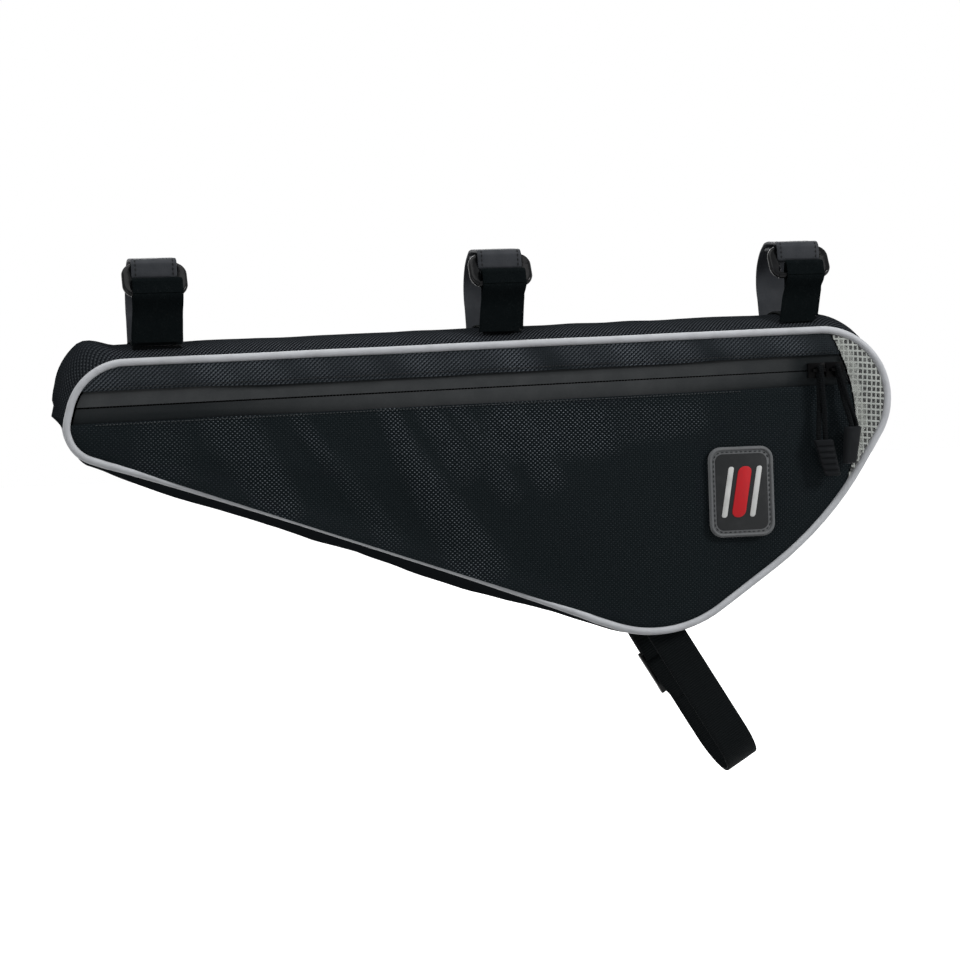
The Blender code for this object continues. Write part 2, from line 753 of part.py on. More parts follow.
def make_grip(side, top, along, across):
    """Moulded grip with ribs across both faces and two blind bores for the cord's ends."""
    out = along.cross(across)
    sections = []
    steps = 4 * GRIP_RIBS
    for k in range(steps + 1):
        t = k / steps
        width = GRIP_TOP_WIDTH + (GRIP_END_WIDTH - GRIP_TOP_WIDTH) * t
        thick = GRIP_THICKNESS * (1 - 0.25 * t)
        if k % 4 == 0 and 0 < k < steps:
            thick -= 2 * GRIP_RIB_DEPTH
        if k in (0, steps):
            width -= 1.2 * MM
            thick -= 1.2 * MM
        section = []
        for a, b in rounded_rectangle(width, thick, 0.3 * thick, steps=1):
            section.append(top + along * GRIP_LENGTH * t + across * a + out * b)
        sections.append(section)
    grip = loft(f"pull_grip_{side}", sections, COLOURS["grip"])
    for end, sign in (("a", -1), ("b", 1)):
        mouth = top + across * sign * GRIP_CORD_SPREAD / 2
        bore = cylinder(
            f"guide_bore_{side}_{end}",
            mouth - along * 1 * MM,
            mouth + along * GRIP_BORE_DEPTH,
            CORD_DIAMETER / 2 + CLEARANCE,
        )
        boolean(grip, bore, "DIFFERENCE")
    return grip


def make_patch():
    """Plain rubber patch with a raised rim, on the crown of the lower panel."""
    back = FRONT_FACE - PANEL_CROWN - CLEARANCE
    front = back - PATCH_THICKNESS
    cx, cz = PATCH_CENTRE
    rings = []
    for shrink, y in (
        (0.0, back),
        (0.0, front + 0.4 * MM),
        (0.4 * MM, front),
        (PATCH_RIM, front),
        (PATCH_RIM + 0.3 * MM, front + PATCH_RECESS),
    ):
        width, height = PATCH_SIZE[0] - 2 * shrink, PATCH_SIZE[1] - 2 * shrink
        outline_points = rounded_rectangle(width, height, PATCH_RADIUS - shrink)
        rings.append([(cx + a, y, cz + b) for a, b in outline_points])
    loft("side_patch", rings, COLOURS["patch"])


def across_tube(x):
    """Turns (y, z, across) into a point for a strap whose middle is at x."""
    return lambda y, z, across: Vector((x + across, y, z))


def gusset_top(x, y):
    """Height of the gusset's outer face on its straight top side."""
    slope = (REAR_TOP[1] - NOSE_TOP[1]) / (REAR_TOP[0] - NOSE_TOP[0])
    return NOSE_TOP[1] + slope * (x - NOSE_TOP[0]) + gusset_bulge(x, y, 1.0)


def ring_bars():
    """Middle of the ring, and of its upper and lower bars, as (y, z)."""
    reach = TUBE_RADIUS + STRAP_SLACK + WEBBING + CLEARANCE + RING_BAR / 2
    out = Vector((math.cos(RING_LEAN), math.sin(RING_LEAN)))
    up = Vector((out.y, -out.x))
    half = (RING_HEIGHT - RING_BAR) / 2
    centre = out * reach
    return centre, centre + up * half, centre - up * half


def make_tube_strap(end, x):
    place = across_tube(x)
    make_strap_base(end, x, place)
    centre, upper, lower = ring_bars()
    up = (upper - lower).normalized()
    path = []
    for a, b in rounded_rectangle(RING_WIDTH - RING_BAR, RING_HEIGHT - RING_BAR, RING_CORNER, steps=4):
        spot = centre + up * b
        path.append(Vector((x + a, spot.x, spot.y)))
    closed_tube(f"strap_ring_{end}", path, RING_BAR / 2, 8, COLOURS["ring"])
    make_ring_band(end, x, upper, place)
    make_hook_leg(end, x, lower, place)


def base_middle(x, y):
    return gusset_top(x, y) + 1.5 * CLEARANCE + WEBBING / 2


def strap_base_path(x):
    path = []
    steps = 10
    for k in range(steps + 1):
        y = -BASE_REACH + 2 * BASE_REACH * k / steps
        path.append((y, base_middle(x, y)))
    return path


def make_strap_base(end, x, place):
    """Webbing sewn flat across the top of the gusset, which carries both legs of the strap."""
    ribbon(f"strap_base_{end}", strap_base_path(x), place, COLOURS["webbing"], thickness=BASE_THICKNESS)


def foot_height(x, y):
    """Height at which a leg's sewn end seats on the base, whose arch slopes under it."""
    base_top = base_middle(x, y) + BASE_THICKNESS / 2
    return base_top + CLEARANCE + WEBBING / 2 * BASE_SLOPE


def make_ring_band(end, x, bar, place):
    """Band from the back of the base over the tube, turned round the ring's upper bar and sewn down."""
    snug = TUBE_RADIUS + STRAP_SLACK + WEBBING / 2
    outer = snug + WEBBING + 4 * CLEARANCE
    turn = RING_BAR / 2 + CLEARANCE + WEBBING / 2
    path = [(LEG_FOOT, foot_height(x, LEG_FOOT))]
    path += arc((0, 0), outer, -24, 96, 9)
    path += arc(tuple(bar), turn, 72, 160, 4)
    fold = WEBBING / 2 + 1.5 * CLEARANCE
    path += arc((bar.x - 0.65 * turn, bar.y - BAND_FOLD_DROP + fold), fold, 180, 320, 4)
    path += arc((0, 0), snug, 126, 78, 4)
    ribbon(f"ring_band_{end}", path, place, COLOURS["band"])


def make_hook_leg(end, x, bar, place):
    """The hook-and-loop leg up the tube's front and over the ring's lower bar, and its tail."""
    snug = TUBE_RADIUS + STRAP_SLACK + WEBBING / 2
    turn = RING_BAR / 2 + CLEARANCE + WEBBING / 2
    path = [(-LEG_FOOT, foot_height(x, -LEG_FOOT))]
    path += arc((0, 0), snug, 202, HOOK_LEG_TOP, 4)
    middle = (bar.x + LEG_LOOP_SHIFT, bar.y + LEG_LOOP_RISE - LEG_LOOP_RADIUS)
    path += arc(middle, LEG_LOOP_RADIUS, 0, 180, 6)
    path.append((bar.x - turn, bar.y))
    ribbon(f"hook_leg_{end}", path, place, COLOURS["webbing"])
    top = (bar.x - turn, bar.y - TAIL_HINGE_GAP)
    clear = snug + WEBBING + 2 * CLEARANCE
    low = [(-clear, -8 * MM), (-clear + 0.1 * MM, -15 * MM), (-clear + 0.2 * MM, TAIL_END)]
    path = [top, (top[0], top[1] - 1.2 * MM), (top[0] + 0.6 * MM, top[1] - 3 * MM)]
    path += [(-clear - 1.6 * MM, -3 * MM), *low]
    tail = ribbon(f"hook_tail_{end}", path, place, COLOURS["hook_loop"])
    turn_about(tail, place(top[0] - WEBBING / 2, top[1], 0.0))


def lower_strap_place(y, down, across):
    """A point on the lower strap: its y, its place down the strap, and its place across the webbing."""
    c, s = math.cos(LOWER_STRAP_ANGLE), math.sin(LOWER_STRAP_ANGLE)
    x = LOWER_STRAP_TOP[0] + c * down + s * across
    z = LOWER_STRAP_TOP[1] - s * down + c * across
    return Vector((x, y, z))


def lower_seat(y):
    """Place down the lower strap where an end at this y seats under the gusset."""
    lowest = min(z for _, z, _, _ in outline())
    under = lowest - gusset_bulge(KEEL[0], abs(y) - WEBBING / 2, -1.0)
    return (LOWER_STRAP_TOP[1] - under + CLEARANCE) / math.sin(LOWER_STRAP_ANGLE)


def make_lower_strap():
    snug = LOWER_TUBE_DIAMETER / 2 + STRAP_SLACK + WEBBING / 2
    oblique = abs(math.cos(LOWER_STRAP_ANGLE + LOWER_TUBE_ANGLE - math.pi / 2))
    wrap = [(a, LOWER_TUBE_DROP + b / oblique) for a, b in arc((0, 0), snug, 180, 0, 14)]
    slant = math.tan(math.pi / 2 - LOWER_STRAP_ANGLE)
    lock_end = LOCK_START + LOCK_LENGTH
    front = [(-snug, lower_seat(snug)), (-snug, 30 * MM)]
    back = [(snug, lock_end + 6 * MM)]
    ribbon("lower_strap", front + wrap + back, lower_strap_place, COLOURS["webbing"], skew=(slant, 0.0))
    bar, wrapped = lock_bar()
    turn = LOCK_THICKNESS / 2 + 1.5 * CLEARANCE + WEBBING / 2
    inner = bar - turn + 0.6 * MM
    outer = bar + turn - 1.2 * MM
    path = [(inner, lower_seat(inner)), (bar - turn, wrapped - 3 * MM)]
    path += arc((bar, wrapped), turn, 180, 0, 7)
    path += [(bar + turn, wrapped - 3 * MM), (outer, lower_seat(outer))]
    ribbon("lock_anchor", path, lower_strap_place, COLOURS["webbing"], skew=(slant, -slant))


def lock_bar():
    """The ladder lock's upper bar, on which it tilts: y and place down the strap."""
    snug = LOWER_TUBE_DIAMETER / 2 + STRAP_SLACK + WEBBING / 2
    inner_face = snug + 1.5 * WEBBING + 2 * CLEARANCE + 0.2 * MM
    return inner_face + LOCK_THICKNESS / 2, LOCK_START + LOCK_THICKNESS / 2


def make_ladder_lock():
    y, start = lock_bar()
    half = LOCK_THICKNESS / 2
    end = LOCK_START + LOCK_LENGTH
    side_view = arc((y, start), half, 180, 360, 6)
    side_view += [(y + half, end - 6 * MM), (y + half + 1.4 * MM, end - 0.6 * MM)]
    side_view += [(y + half + 0.8 * MM, end), (y - half + 1.0 * MM, end), (y - half, end - 5 * MM)]
    wide = LOCK_WIDTH / 2
    lock = prism("ladder_lock", side_view, -wide, wide, lower_strap_place, COLOURS["lock"])
    slots = ((start + 0.4 * MM, start + 7.6 * MM), (start + 12.0 * MM, start + 17.0 * MM))
    for k, (top, low) in enumerate(slots):
        hole = [(y - 6 * MM, top), (y + 6 * MM, top), (y + 6 * MM, low), (y - 6 * MM, low)]
        wide = LOCK_SLOT / 2
        slot = prism(f"guide_slot_{k}", hole, -wide, wide, lower_strap_place, COLOURS["guide"])
        boolean(lock, slot, "DIFFERENCE")
    turn_about(lock, lower_strap_place(y, start, 0.0))
    make_free_end(y, start, half)


def make_free_end(y, start, half):
    """The webbing's free end: out through the first slot, over the middle bar and down behind the lock."""
    snug = LOWER_TUBE_DIAMETER / 2 + STRAP_SLACK + WEBBING / 2
    out = y + half + CLEARANCE + WEBBING / 2
    inner = y - half - CLEARANCE - WEBBING / 2
    end = LOCK_START + LOCK_LENGTH
    path = [
        (snug, end + 5.6 * MM),
        (snug, start + 9.6 * MM),
        (snug + 0.8 * MM, start + 6.4 * MM),
        (y - 1.0 * MM, start + 5.4 * MM),
        (out - 0.6 * MM, start + 6.2 * MM),
        (out, start + 8.6 * MM),
        (out, start + 11.8 * MM),
        (out - 1.0 * MM, start + 14.2 * MM),
        (y, start + 15.0 * MM),
        (inner + 1.0 * MM, start + 15.8 * MM),
    ]
    path += [(inner, start + 17.4 * MM), (inner, end), (inner + 0.4 * MM, end + FREE_END)]
    ribbon("lower_strap_free_end", path, lower_strap_place, COLOURS["webbing"], thickness=WEBBING * 0.75)


clear_scene()
COLOURS = {
    "nylon": material("black woven nylon", (0.012, 0.012, 0.014), 0.75),
    "piping": material("grey piping", (0.38, 0.39, 0.41), 0.45),
    "tape": material("coated zip tape", (0.018, 0.018, 0.02), 0.5),
    "teeth": material("zip teeth", (0.015, 0.015, 0.016), 0.4),
    "slider": material("painted metal", (0.02, 0.02, 0.02), 0.35, 0.8),
    "cord": material("pull cord", (0.013, 0.013, 0.014), 0.85),
    "grip": material("moulded rubber", (0.025, 0.026, 0.028), 0.55),
    "film": material("clear scrim film", (0.6, 0.62, 0.6), 0.12, 0.0, 0.5),
    "patch": material("grey rubber patch", (0.16, 0.165, 0.17), 0.6),
    "webbing": material("black webbing", (0.012, 0.012, 0.013), 0.8),
    "band": material("coated band", (0.022, 0.023, 0.026), 0.5),
    "hook_loop": material("hook and loop", (0.009, 0.009, 0.01), 0.95),
    "ring": material("gloss plastic ring", (0.014, 0.014, 0.015), 0.25),
    "lock": material("lock plastic", (0.014, 0.014, 0.015), 0.3),
    "guide": material("guide", (0.8, 0.3, 0.1), 0.5),
}
make_gusset()
make_piping("front_piping", -1)
make_piping("back_piping", 1)
make_panels()
make_window()
make_tapes()
make_teeth()
make_stop()
LEFT_START, RIGHT_START = slider_starts()
make_slider("left", LEFT_START)
make_slider("right", RIGHT_START)
make_pull("left", LEFT_START, -1.0 * MM, 0.0)
make_pull("right", RIGHT_START, 3.0 * MM, math.radians(-55))
make_patch()
for strap_end, strap_x in TUBE_STRAPS.items():
    make_tube_strap(strap_end, strap_x)
make_lower_strap()
make_ladder_lock()
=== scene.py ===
"""Looks of the bike frame bag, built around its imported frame. Lengths here are in millimetres."""

import math

import bpy
import numpy as np
from mathutils import Matrix, Vector, noise
from mathutils.geometry import delaunay_2d_cdt


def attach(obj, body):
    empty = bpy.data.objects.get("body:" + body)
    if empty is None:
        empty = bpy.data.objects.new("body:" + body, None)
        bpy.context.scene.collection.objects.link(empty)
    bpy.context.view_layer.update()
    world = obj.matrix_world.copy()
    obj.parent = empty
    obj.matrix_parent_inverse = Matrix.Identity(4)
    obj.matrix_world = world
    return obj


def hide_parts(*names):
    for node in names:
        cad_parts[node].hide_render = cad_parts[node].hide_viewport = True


MM = 0.001
YARN = (1.2, 1.08)  # width of the panels' yarns along x and z
SIDE_YARN = (1.0, 1.2)  # width of the side band's yarns round the bag and across it

# Outline of the bag: corners as (x, z) and their radii
CORNERS = (
    ((-224.6, -31.7), 30.0),
    ((237.5, -25.5), 36.5),
    ((171.0, -130.2), 184.0),
    ((82.5, -190.5), 64.0),
    ((-236.2, -74.9), 17.7),
)
HALF_DEPTH = 28.0
GUSSET_HALF = 26.0
GUSSET_ROUNDNESS = 2.4
TOP_BULGE = 9.5  # of the side band between its two pipings
UNDERSIDE = -0.6  # the outline's normal has a lower z than this along the lower straight
# Bulge of the side band under the long lower edge, by x
LOWER_EDGE = (
    (-215, -175, -122, -103, -80, -52, -20, 24, 70),
    (4.0, 5.5, 3.8, 4.8, 3.6, 5.1, 5.4, 2.6, 2.8),
)
# Bulge of the side band round the nose, by the z of the outline's normal
NOSE_BULGE = (
    (-1.0, -0.8, -0.5, 0.0, 0.17, 0.3, 0.5, 0.9, 1.0),
    (4.0, 2.0, 0.4, 1.2, 3.4, 7.4, 9.4, 17.0, 18.0),
)
PIPING_RADIUS = 1.95
PIPING_SIDES = 16
PANEL_INSET = 1.9
FACE = 29.0
FABRIC = 1.4
CROWN = 3.0
CROWN_REACH = 30.0
LOWER_STRAIGHT = (-212.0, 40.0)  # x range in which the panel rolls over the piping
PIPING_RISE = 2.2  # how far the rolled panel draws the piping up there
ROLL_LAP = 2.75  # how far the rolled panel's edge moves out over it
ROLL_DEPTH = 2.65
RIM_DEPTH, RIM_WIDTH = 0.8, 1.6  # the panels' edges dip towards the pipings
BACK_SHIFT = 40  # the back's folds are the front's, moved along x

# Zip
ZIP_HEIGHT = -50.5
ZIP_SLOPE = math.radians(0.855)
ZIP_HALF_SLOT = 8.2
ZIP_SLIT = 0.6
TAPE_FRONT = -27.3
TAPE_WIDTH = 13.5
TAPE_THICKNESS = 0.9
TAPE_INSET = 3.2

# Pulls: middle of the slider's bridge, sideways lean and drop of the cord, the grip's tilt and turn
PULLS = {
    "left": ((168.0, -32.25, -47.99), -1.0, 37.0, 0.25, 0.0),
    "right": ((178.0, -32.25, -47.84), 6.0, 30.6, -0.13, math.radians(-28)),
}
CORD_RADIUS = 1.3
CORD_SPREAD = 1.9  # from the grip's middle to each strand
CORD_WRAP = 1.98  # radius of the cord's bend round the bridge
GRIP_Y = -36.8
GRIP_SIZE = (10.4, 5.0, 20.0)
GRIP_GIRTH = 30.0
GRIP_NARROWING = 1.8
GRIP_EDGE = 0.9
GROOVE_START, GROOVE_PITCH = 0.12, 0.166  # as shares of the grip's length
GROOVE_DEPTH = 0.95

# Window, behind the panels' round edge
EDGE_CENTRE = (97.0, -75.2)
EDGE_RADIUS = 91.3
EDGE_GAP = 0.15  # from this radius to the panels inside it and to the window outside it
FILM_FACE = 28.6
HEM_WIDTH = 5.2
SCRIM_PITCH = (2.6, 3.1)

# Patch
PATCH_CENTRE = (122.0, -111.0)

# Straps
TUBE_RADIUS = 17.45
SNUG = 0.35  # gap between a tube and the strap round it
STRAPS = {"front": -184.0, "middle": -2.0, "rear": 162.5}
WEBBING_WIDTH = 25.4
WEBBING = 1.6
STRAP_REACH = TUBE_RADIUS + SNUG + WEBBING / 2  # from a tube's axis to the middle of its webbing
THIN_WEBBING = 1.2
STRAP_FOOT = 17.5  # y at which the bands and legs start from the bag's top
BAND_WIDTH = 23.6
RING_SIZE = (31.0, 16.2)  # between the middles of its bars
RING_CORNER = 5.0
RING_BAR = 1.5  # radius of the ring's long sides
BAR_GAP = 0.3  # between the ring's bars and the webbing
RING_LEAN = math.radians(150)
# Hook and loop tails: sideways shift and width at the ring, shift and width at the lower end
TAILS = {
    "front": (1.0, 26.0, 0.2, 26.2),
    "middle": (1.0, 23.4, -2.2, 21.6),
    "rear": (2.0, 20.8, -2.9, 19.6),
}

# Lower strap
LOWER_TOP = (79.7, -184.9)
LOWER_ANGLE = math.radians(59)
LOWER_TUBE_ANGLE = math.radians(45.7)
LOWER_DROP = 67.4
LOWER_SHARE = 0.76  # the lower strap's webbing and lock are drawn narrower than in the CAD
LOWER_SHIFT = 1.8
LOCK_BAR = (23.4, 13.1)  # y of the lock's upper bar, and its way down the strap
LOCK_BAR_HALF = 1.6
ANCHOR_WIDTH = 26.3

# Stage, in metres
FLOOR_HEIGHT, FLOOR_REACH = -0.285, 6.0
SKY = 0.19  # strength of the white surroundings for the rays that light the bag
LIGHT_TARGET = (0.0, 0.0, -0.08)
LIGHTS = {
    "key": ((1.45, -1.05, 0.8), (0.38, 0.38), 22),
    "top": ((-0.3, -0.25, 1.3), (1.6, 0.9), 13),
    "left": ((-1.6, -0.9, 0.25), (0.8, 1.2), 7),
    "back": ((0.4, 1.5, 0.7), (1.2, 0.8), 9),
}

# Camera fitted to the photograph
CAMERA_PLACE = (-347.83, -1562.32, -44.19)
CAMERA_AZIMUTH = math.radians(-12.1)
CAMERA_ELEVATION = math.radians(2.0)
CAMERA_ROLL = math.radians(-2.0326)
CAMERA_LENS = 112.5


# ---- shader nodes


class Tree:
    """A node tree, with short calls for the nodes used here."""

    def __init__(self, tree):
        self.nodes = tree.nodes
        self.links = tree.links

    def feed(self, socket, value):
        if isinstance(value, bpy.types.NodeSocket):
            self.links.new(value, socket)
        else:
            socket.default_value = value

    def node(self, kind, **values):
        node = self.nodes.new(f"ShaderNode{kind}")
        for name, value in values.items():
            self.feed(node.inputs[name.replace("_", " ")], value)
        return node

    def math(self, operation, *values, clamp=False):
        node = self.node("Math")
        node.operation = operation
        node.use_clamp = clamp
        for socket, value in zip(node.inputs, values):
            self.feed(socket, value)
        return node.outputs[0]

    def mul(self, a, b):
        return self.math("MULTIPLY", a, b)

    def add(self, a, b):
        return self.math("ADD", a, b)

    def mul_add(self, a, b, c, clamp=False):
        return self.math("MULTIPLY_ADD", a, b, c, clamp=clamp)

    def wave(self, value, period):
        """0 to 1 and back over one period."""
        return self.mul_add(self.math("SINE", self.mul(value, math.tau / period)), 0.5, 0.5)

    def smooth(self, value, low, high):
        node = self.node("MapRange", Value=value, From_Min=low, From_Max=high)
        node.interpolation_type = "SMOOTHSTEP"
        return node.outputs["Result"]

    def mix(self, factor, dark, light):
        node = self.node("Mix")
        node.data_type = "RGBA"
        for name, value in (("Factor", factor), ("A", dark), ("B", light)):
            self.feed(node.inputs[name], (*value, 1.0) if isinstance(value, tuple) else value)
        return node.outputs["Result"]

    def coordinates(self, kind="UV"):
        """Coordinates in millimetres, apart and as a vector: u and v, or the object's x, y and z."""
        scale = self.node("VectorMath")
        scale.operation = "SCALE"
        self.feed(scale.inputs[0], self.node("TexCoord").outputs[kind])
        self.feed(scale.inputs["Scale"], 1 / MM)
        vector = scale.outputs["Vector"]
        return self.node("SeparateXYZ", Vector=vector).outputs, vector

    def noise(self, vector, scale, detail=3.0, roughness=0.55):
        node = self.node("TexNoise", Vector=vector, Scale=scale, Detail=detail, Roughness=roughness)
        return node.outputs["Fac"]

    def painted_sheen(self):
        """The mesh's own painted sheen: how brightly its cloth is painted as lit."""
        node = self.node("Attribute")
        node.attribute_name = "painted_sheen"
        return node.outputs["Fac"]

    def seen_rays(self):
        """1 for the rays that see the background: from the camera, off gloss and through film."""
        rays = self.node("LightPath").outputs
        seen = self.math("MAXIMUM", rays["Is Camera Ray"], rays["Is Glossy Ray"])
        return self.math("MAXIMUM", seen, rays["Is Transmission Ray"])


class Shader(Tree):
    """A material and its tree."""

    def __init__(self, name, roughness, metallic=0.0):
        self.mat = bpy.data.materials.new(name)
        self.mat.use_nodes = True
        super().__init__(self.mat.node_tree)
        self.bsdf = self.nodes["Principled BSDF"]
        self.set("Roughness", roughness)
        self.set("Metallic", metallic)

    def set(self, socket, value):
        self.feed(self.bsdf.inputs[socket], value)

    def bump(self, height, distance):
        normal = self.node("Bump", Height=height, Distance=distance * MM, Strength=1.0).outputs["Normal"]
        self.set("Normal", normal)
        return normal

    def finished(self, colour, height, distance, gloss):
        self.set("Base Color", colour)
        self.bump(height, distance)
        self.set("Specular IOR Level", gloss)
        return self.mat


def woven(name, yarn, flat, dark, light, twill=0.0, gloss=0.03):
    """Plain weave whose floats get painted glints where the mesh's painted sheen is high: painted light
    on the cloth's tight folds and lit faces.
    """
    s = Shader(name, 0.5)
    (u, v, _), vector = s.coordinates()
    turns = list(zip((u, v), yarn))
    across, along = [s.math("ABSOLUTE", s.math("SINE", s.mul(a, math.pi / b))) for a, b in turns]
    column, row = [s.math("FLOOR", s.math("DIVIDE", a, b)) for a, b in turns]
    odd = s.math("PINGPONG", s.add(column, row), 1.0)
    weft = s.mul(s.mul(s.math("POWER", across, 0.6), s.math("POWER", along, 1.3)), odd)
    warp = s.mul(s.math("POWER", along, 0.6), s.math("POWER", across, 1.3))
    warp = s.mul(warp, s.math("SUBTRACT", 1.0, odd))
    threads = s.noise(vector, 1.6, 2.0)
    # Painted glints: the weft floats are coloured light, standing in for the highlights that they catch.
    painted_glint = s.mul(s.smooth(weft, 0.35, 0.9), s.smooth(threads, 0.2, 0.65))
    if twill:
        slant = s.math("SUBTRACT", s.mul(u, 1 / yarn[0]), s.mul(v, 1 / yarn[1]))
        painted_glint = s.mul_add(s.smooth(s.wave(slant, 2.0), 0.35, 0.9), twill, s.mul(painted_glint, 1 - twill))
    cloud = s.smooth(s.noise(vector, 0.045, 4.0), 0.3, 0.75)
    # The mesh's painted sheen, varied by a random cloud, picks where the painted glints show.
    painted_sheen = s.math("MULTIPLY", s.painted_sheen(), s.mul_add(cloud, 0.35, 0.75), clamp=True)
    height = s.add(s.add(weft, s.mul(warp, 0.55)), s.mul(threads, 0.25))
    return s.finished(s.mix(painted_sheen, flat, s.mix(painted_glint, dark, light)), height, 0.3, gloss)


def ribbed(name, pitch, colour, crest):
    """Webbing: ribs across its width, and yarns along it."""
    s = Shader(name, 0.7)
    (u, v, _), vector = s.coordinates()
    grain = s.noise(vector, 1.1, 4.0)
    height = s.add(s.mul(s.wave(u, pitch), 0.7), s.mul(s.wave(v, 0.75), 0.3))
    height = s.add(height, s.mul(grain, 0.4))
    return s.finished(s.mix(s.mul(height, grain), colour, crest), height, 0.28, 0.02)


def pile(name, colour, tips):
    """Deep fuzzy face of hook and loop fabric, with a few worn tufts."""
    s = Shader(name, 1.0)
    _, vector = s.coordinates()
    tufts = s.noise(vector, 0.9, 5.0, 0.7)
    clumps = s.noise(vector, 0.22, 3.0)
    worn = s.mul(s.smooth(tufts, 0.45, 0.75), s.smooth(clumps, 0.4, 0.7))
    return s.finished(s.mix(worn, colour, tips), s.add(tufts, s.mul(clumps, 0.8)), 0.6, 0.01)


def moulded(name, colour, worn, roughness, gloss=0.16, metallic=0.0, grain=0.6):
    """Moulded or painted surface with a fine grain and slight wear."""
    s = Shader(name, roughness, metallic)
    _, vector = s.coordinates("Object")
    fine = s.noise(vector, grain, 4.0)
    s.set("Roughness", s.mul_add(fine, 0.25, roughness - 0.12, clamp=True))
    wear = s.smooth(s.noise(vector, 0.12, 5.0), 0.45, 0.75)
    return s.finished(s.mix(wear, colour, worn), fine, 0.05, gloss)


def coated(name, colour, worn, shade=None):
    """Smooth coated cloth with its grain just showing; the last colour, if given, is painted shade, shown
    where the mesh's painted sheen is 0.
    """
    s = Shader(name, 0.5)
    (u, v, _), vector = s.coordinates()
    tone_and_painted_light = s.mix(s.smooth(s.noise(vector, 0.08, 4.0), 0.3, 0.75), colour, worn)
    height = s.mul_add(s.mul(s.wave(u, 0.8), s.wave(v, 0.8)), 0.5, s.noise(vector, 1.5, 3.0))
    return s.finished(s.mix(s.painted_sheen(), shade, tone_and_painted_light) if shade else tone_and_painted_light, height, 0.07, 0.08)


def reflective(name, colour, dirt):
    """Grey piping: smooth cover with fine puckers and a little dirt."""
    s = Shader(name, 0.42)
    _, vector = s.coordinates()
    s.set("Sheen Weight", 0.1)
    height = s.mul_add(s.noise(vector, 5.0, 1.0), 0.15, s.noise(vector, 0.5, 3.0))
    dirty = s.smooth(s.noise(vector, 0.09, 5.0), 0.35, 0.8)
    return s.finished(s.mix(dirty, colour, dirt), height, 0.22, 0.15)


def film(name, cloudy, colour):
    """Clear film: a faint cloudy body, and a gloss that catches the lights."""
    s = Shader(name, 0.3)
    _, vector = s.coordinates("Object")
    s.set("Base Color", (*colour, 1.0))
    smears = s.smooth(s.noise(vector, 0.11, 4.0), 0.5, 0.8)
    s.set("Alpha", s.mul_add(smears, cloudy, cloudy * 0.35))
    normal = s.bump(s.noise(vector, 0.06, 3.0), 0.9)
    gloss = s.node("BsdfGlossy", Color=(0.012, 0.012, 0.012, 1.0), Roughness=0.14, Normal=normal)
    both = s.node("AddShader")
    s.feed(both.inputs[0], s.bsdf.outputs[0])
    s.feed(both.inputs[1], gloss.outputs[0])
    s.feed(s.nodes["Material Output"].inputs["Surface"], both.outputs[0])
    return s.mat


# Moulded and painted materials: name, colour, worn colour, roughness, gloss, metallic, grain
MOULDED = {
    "ring": ("gloss_ring", (0.004, 0.0044, 0.005), (0.008, 0.0085, 0.0095), 0.15, 0.1),
    "lock": ("gloss_lock", (0.004, 0.0045, 0.005), (0.008, 0.0085, 0.009), 0.27, 0.12),
    "grip": ("moulded_grip", (0.0095, 0.0105, 0.0118), (0.0135, 0.0145, 0.016), 0.4, 0.03),
    "slider": ("painted_slider", (0.0012, 0.0012, 0.0014), (0.003, 0.003, 0.0033), 0.34, 0.04, 0.1),
    "teeth": ("zip_teeth", (0.0015, 0.0016, 0.0018), (0.003, 0.0032, 0.0036), 0.5, 0.04),
    "patch": ("rubber_patch", (0.13, 0.135, 0.14), (0.105, 0.11, 0.115), 0.6, 0.16, 0.0, 1.2),
    "patch_dark": ("rubber_black", (0.012, 0.013, 0.014), (0.02, 0.021, 0.022), 0.55),
    "patch_red": ("rubber_red", (0.50, 0.016, 0.022), (0.44, 0.02, 0.026), 0.5),
    "patch_pale": ("rubber_pale", (0.60, 0.61, 0.60), (0.50, 0.51, 0.50), 0.5),
    "thread": ("sewing_thread", (0.012, 0.013, 0.014), (0.03, 0.031, 0.033), 0.6),
    "thread_dark": ("sewing_thread_dark", (0.003, 0.0032, 0.0035), (0.008, 0.0085, 0.009), 0.7),
    "thread_pale": ("sewing_thread_pale", (0.045, 0.048, 0.051), (0.028, 0.03, 0.032), 0.6),
    "scrim": ("scrim_thread", (0.36, 0.38, 0.36), (0.48, 0.50, 0.47), 0.45),
}


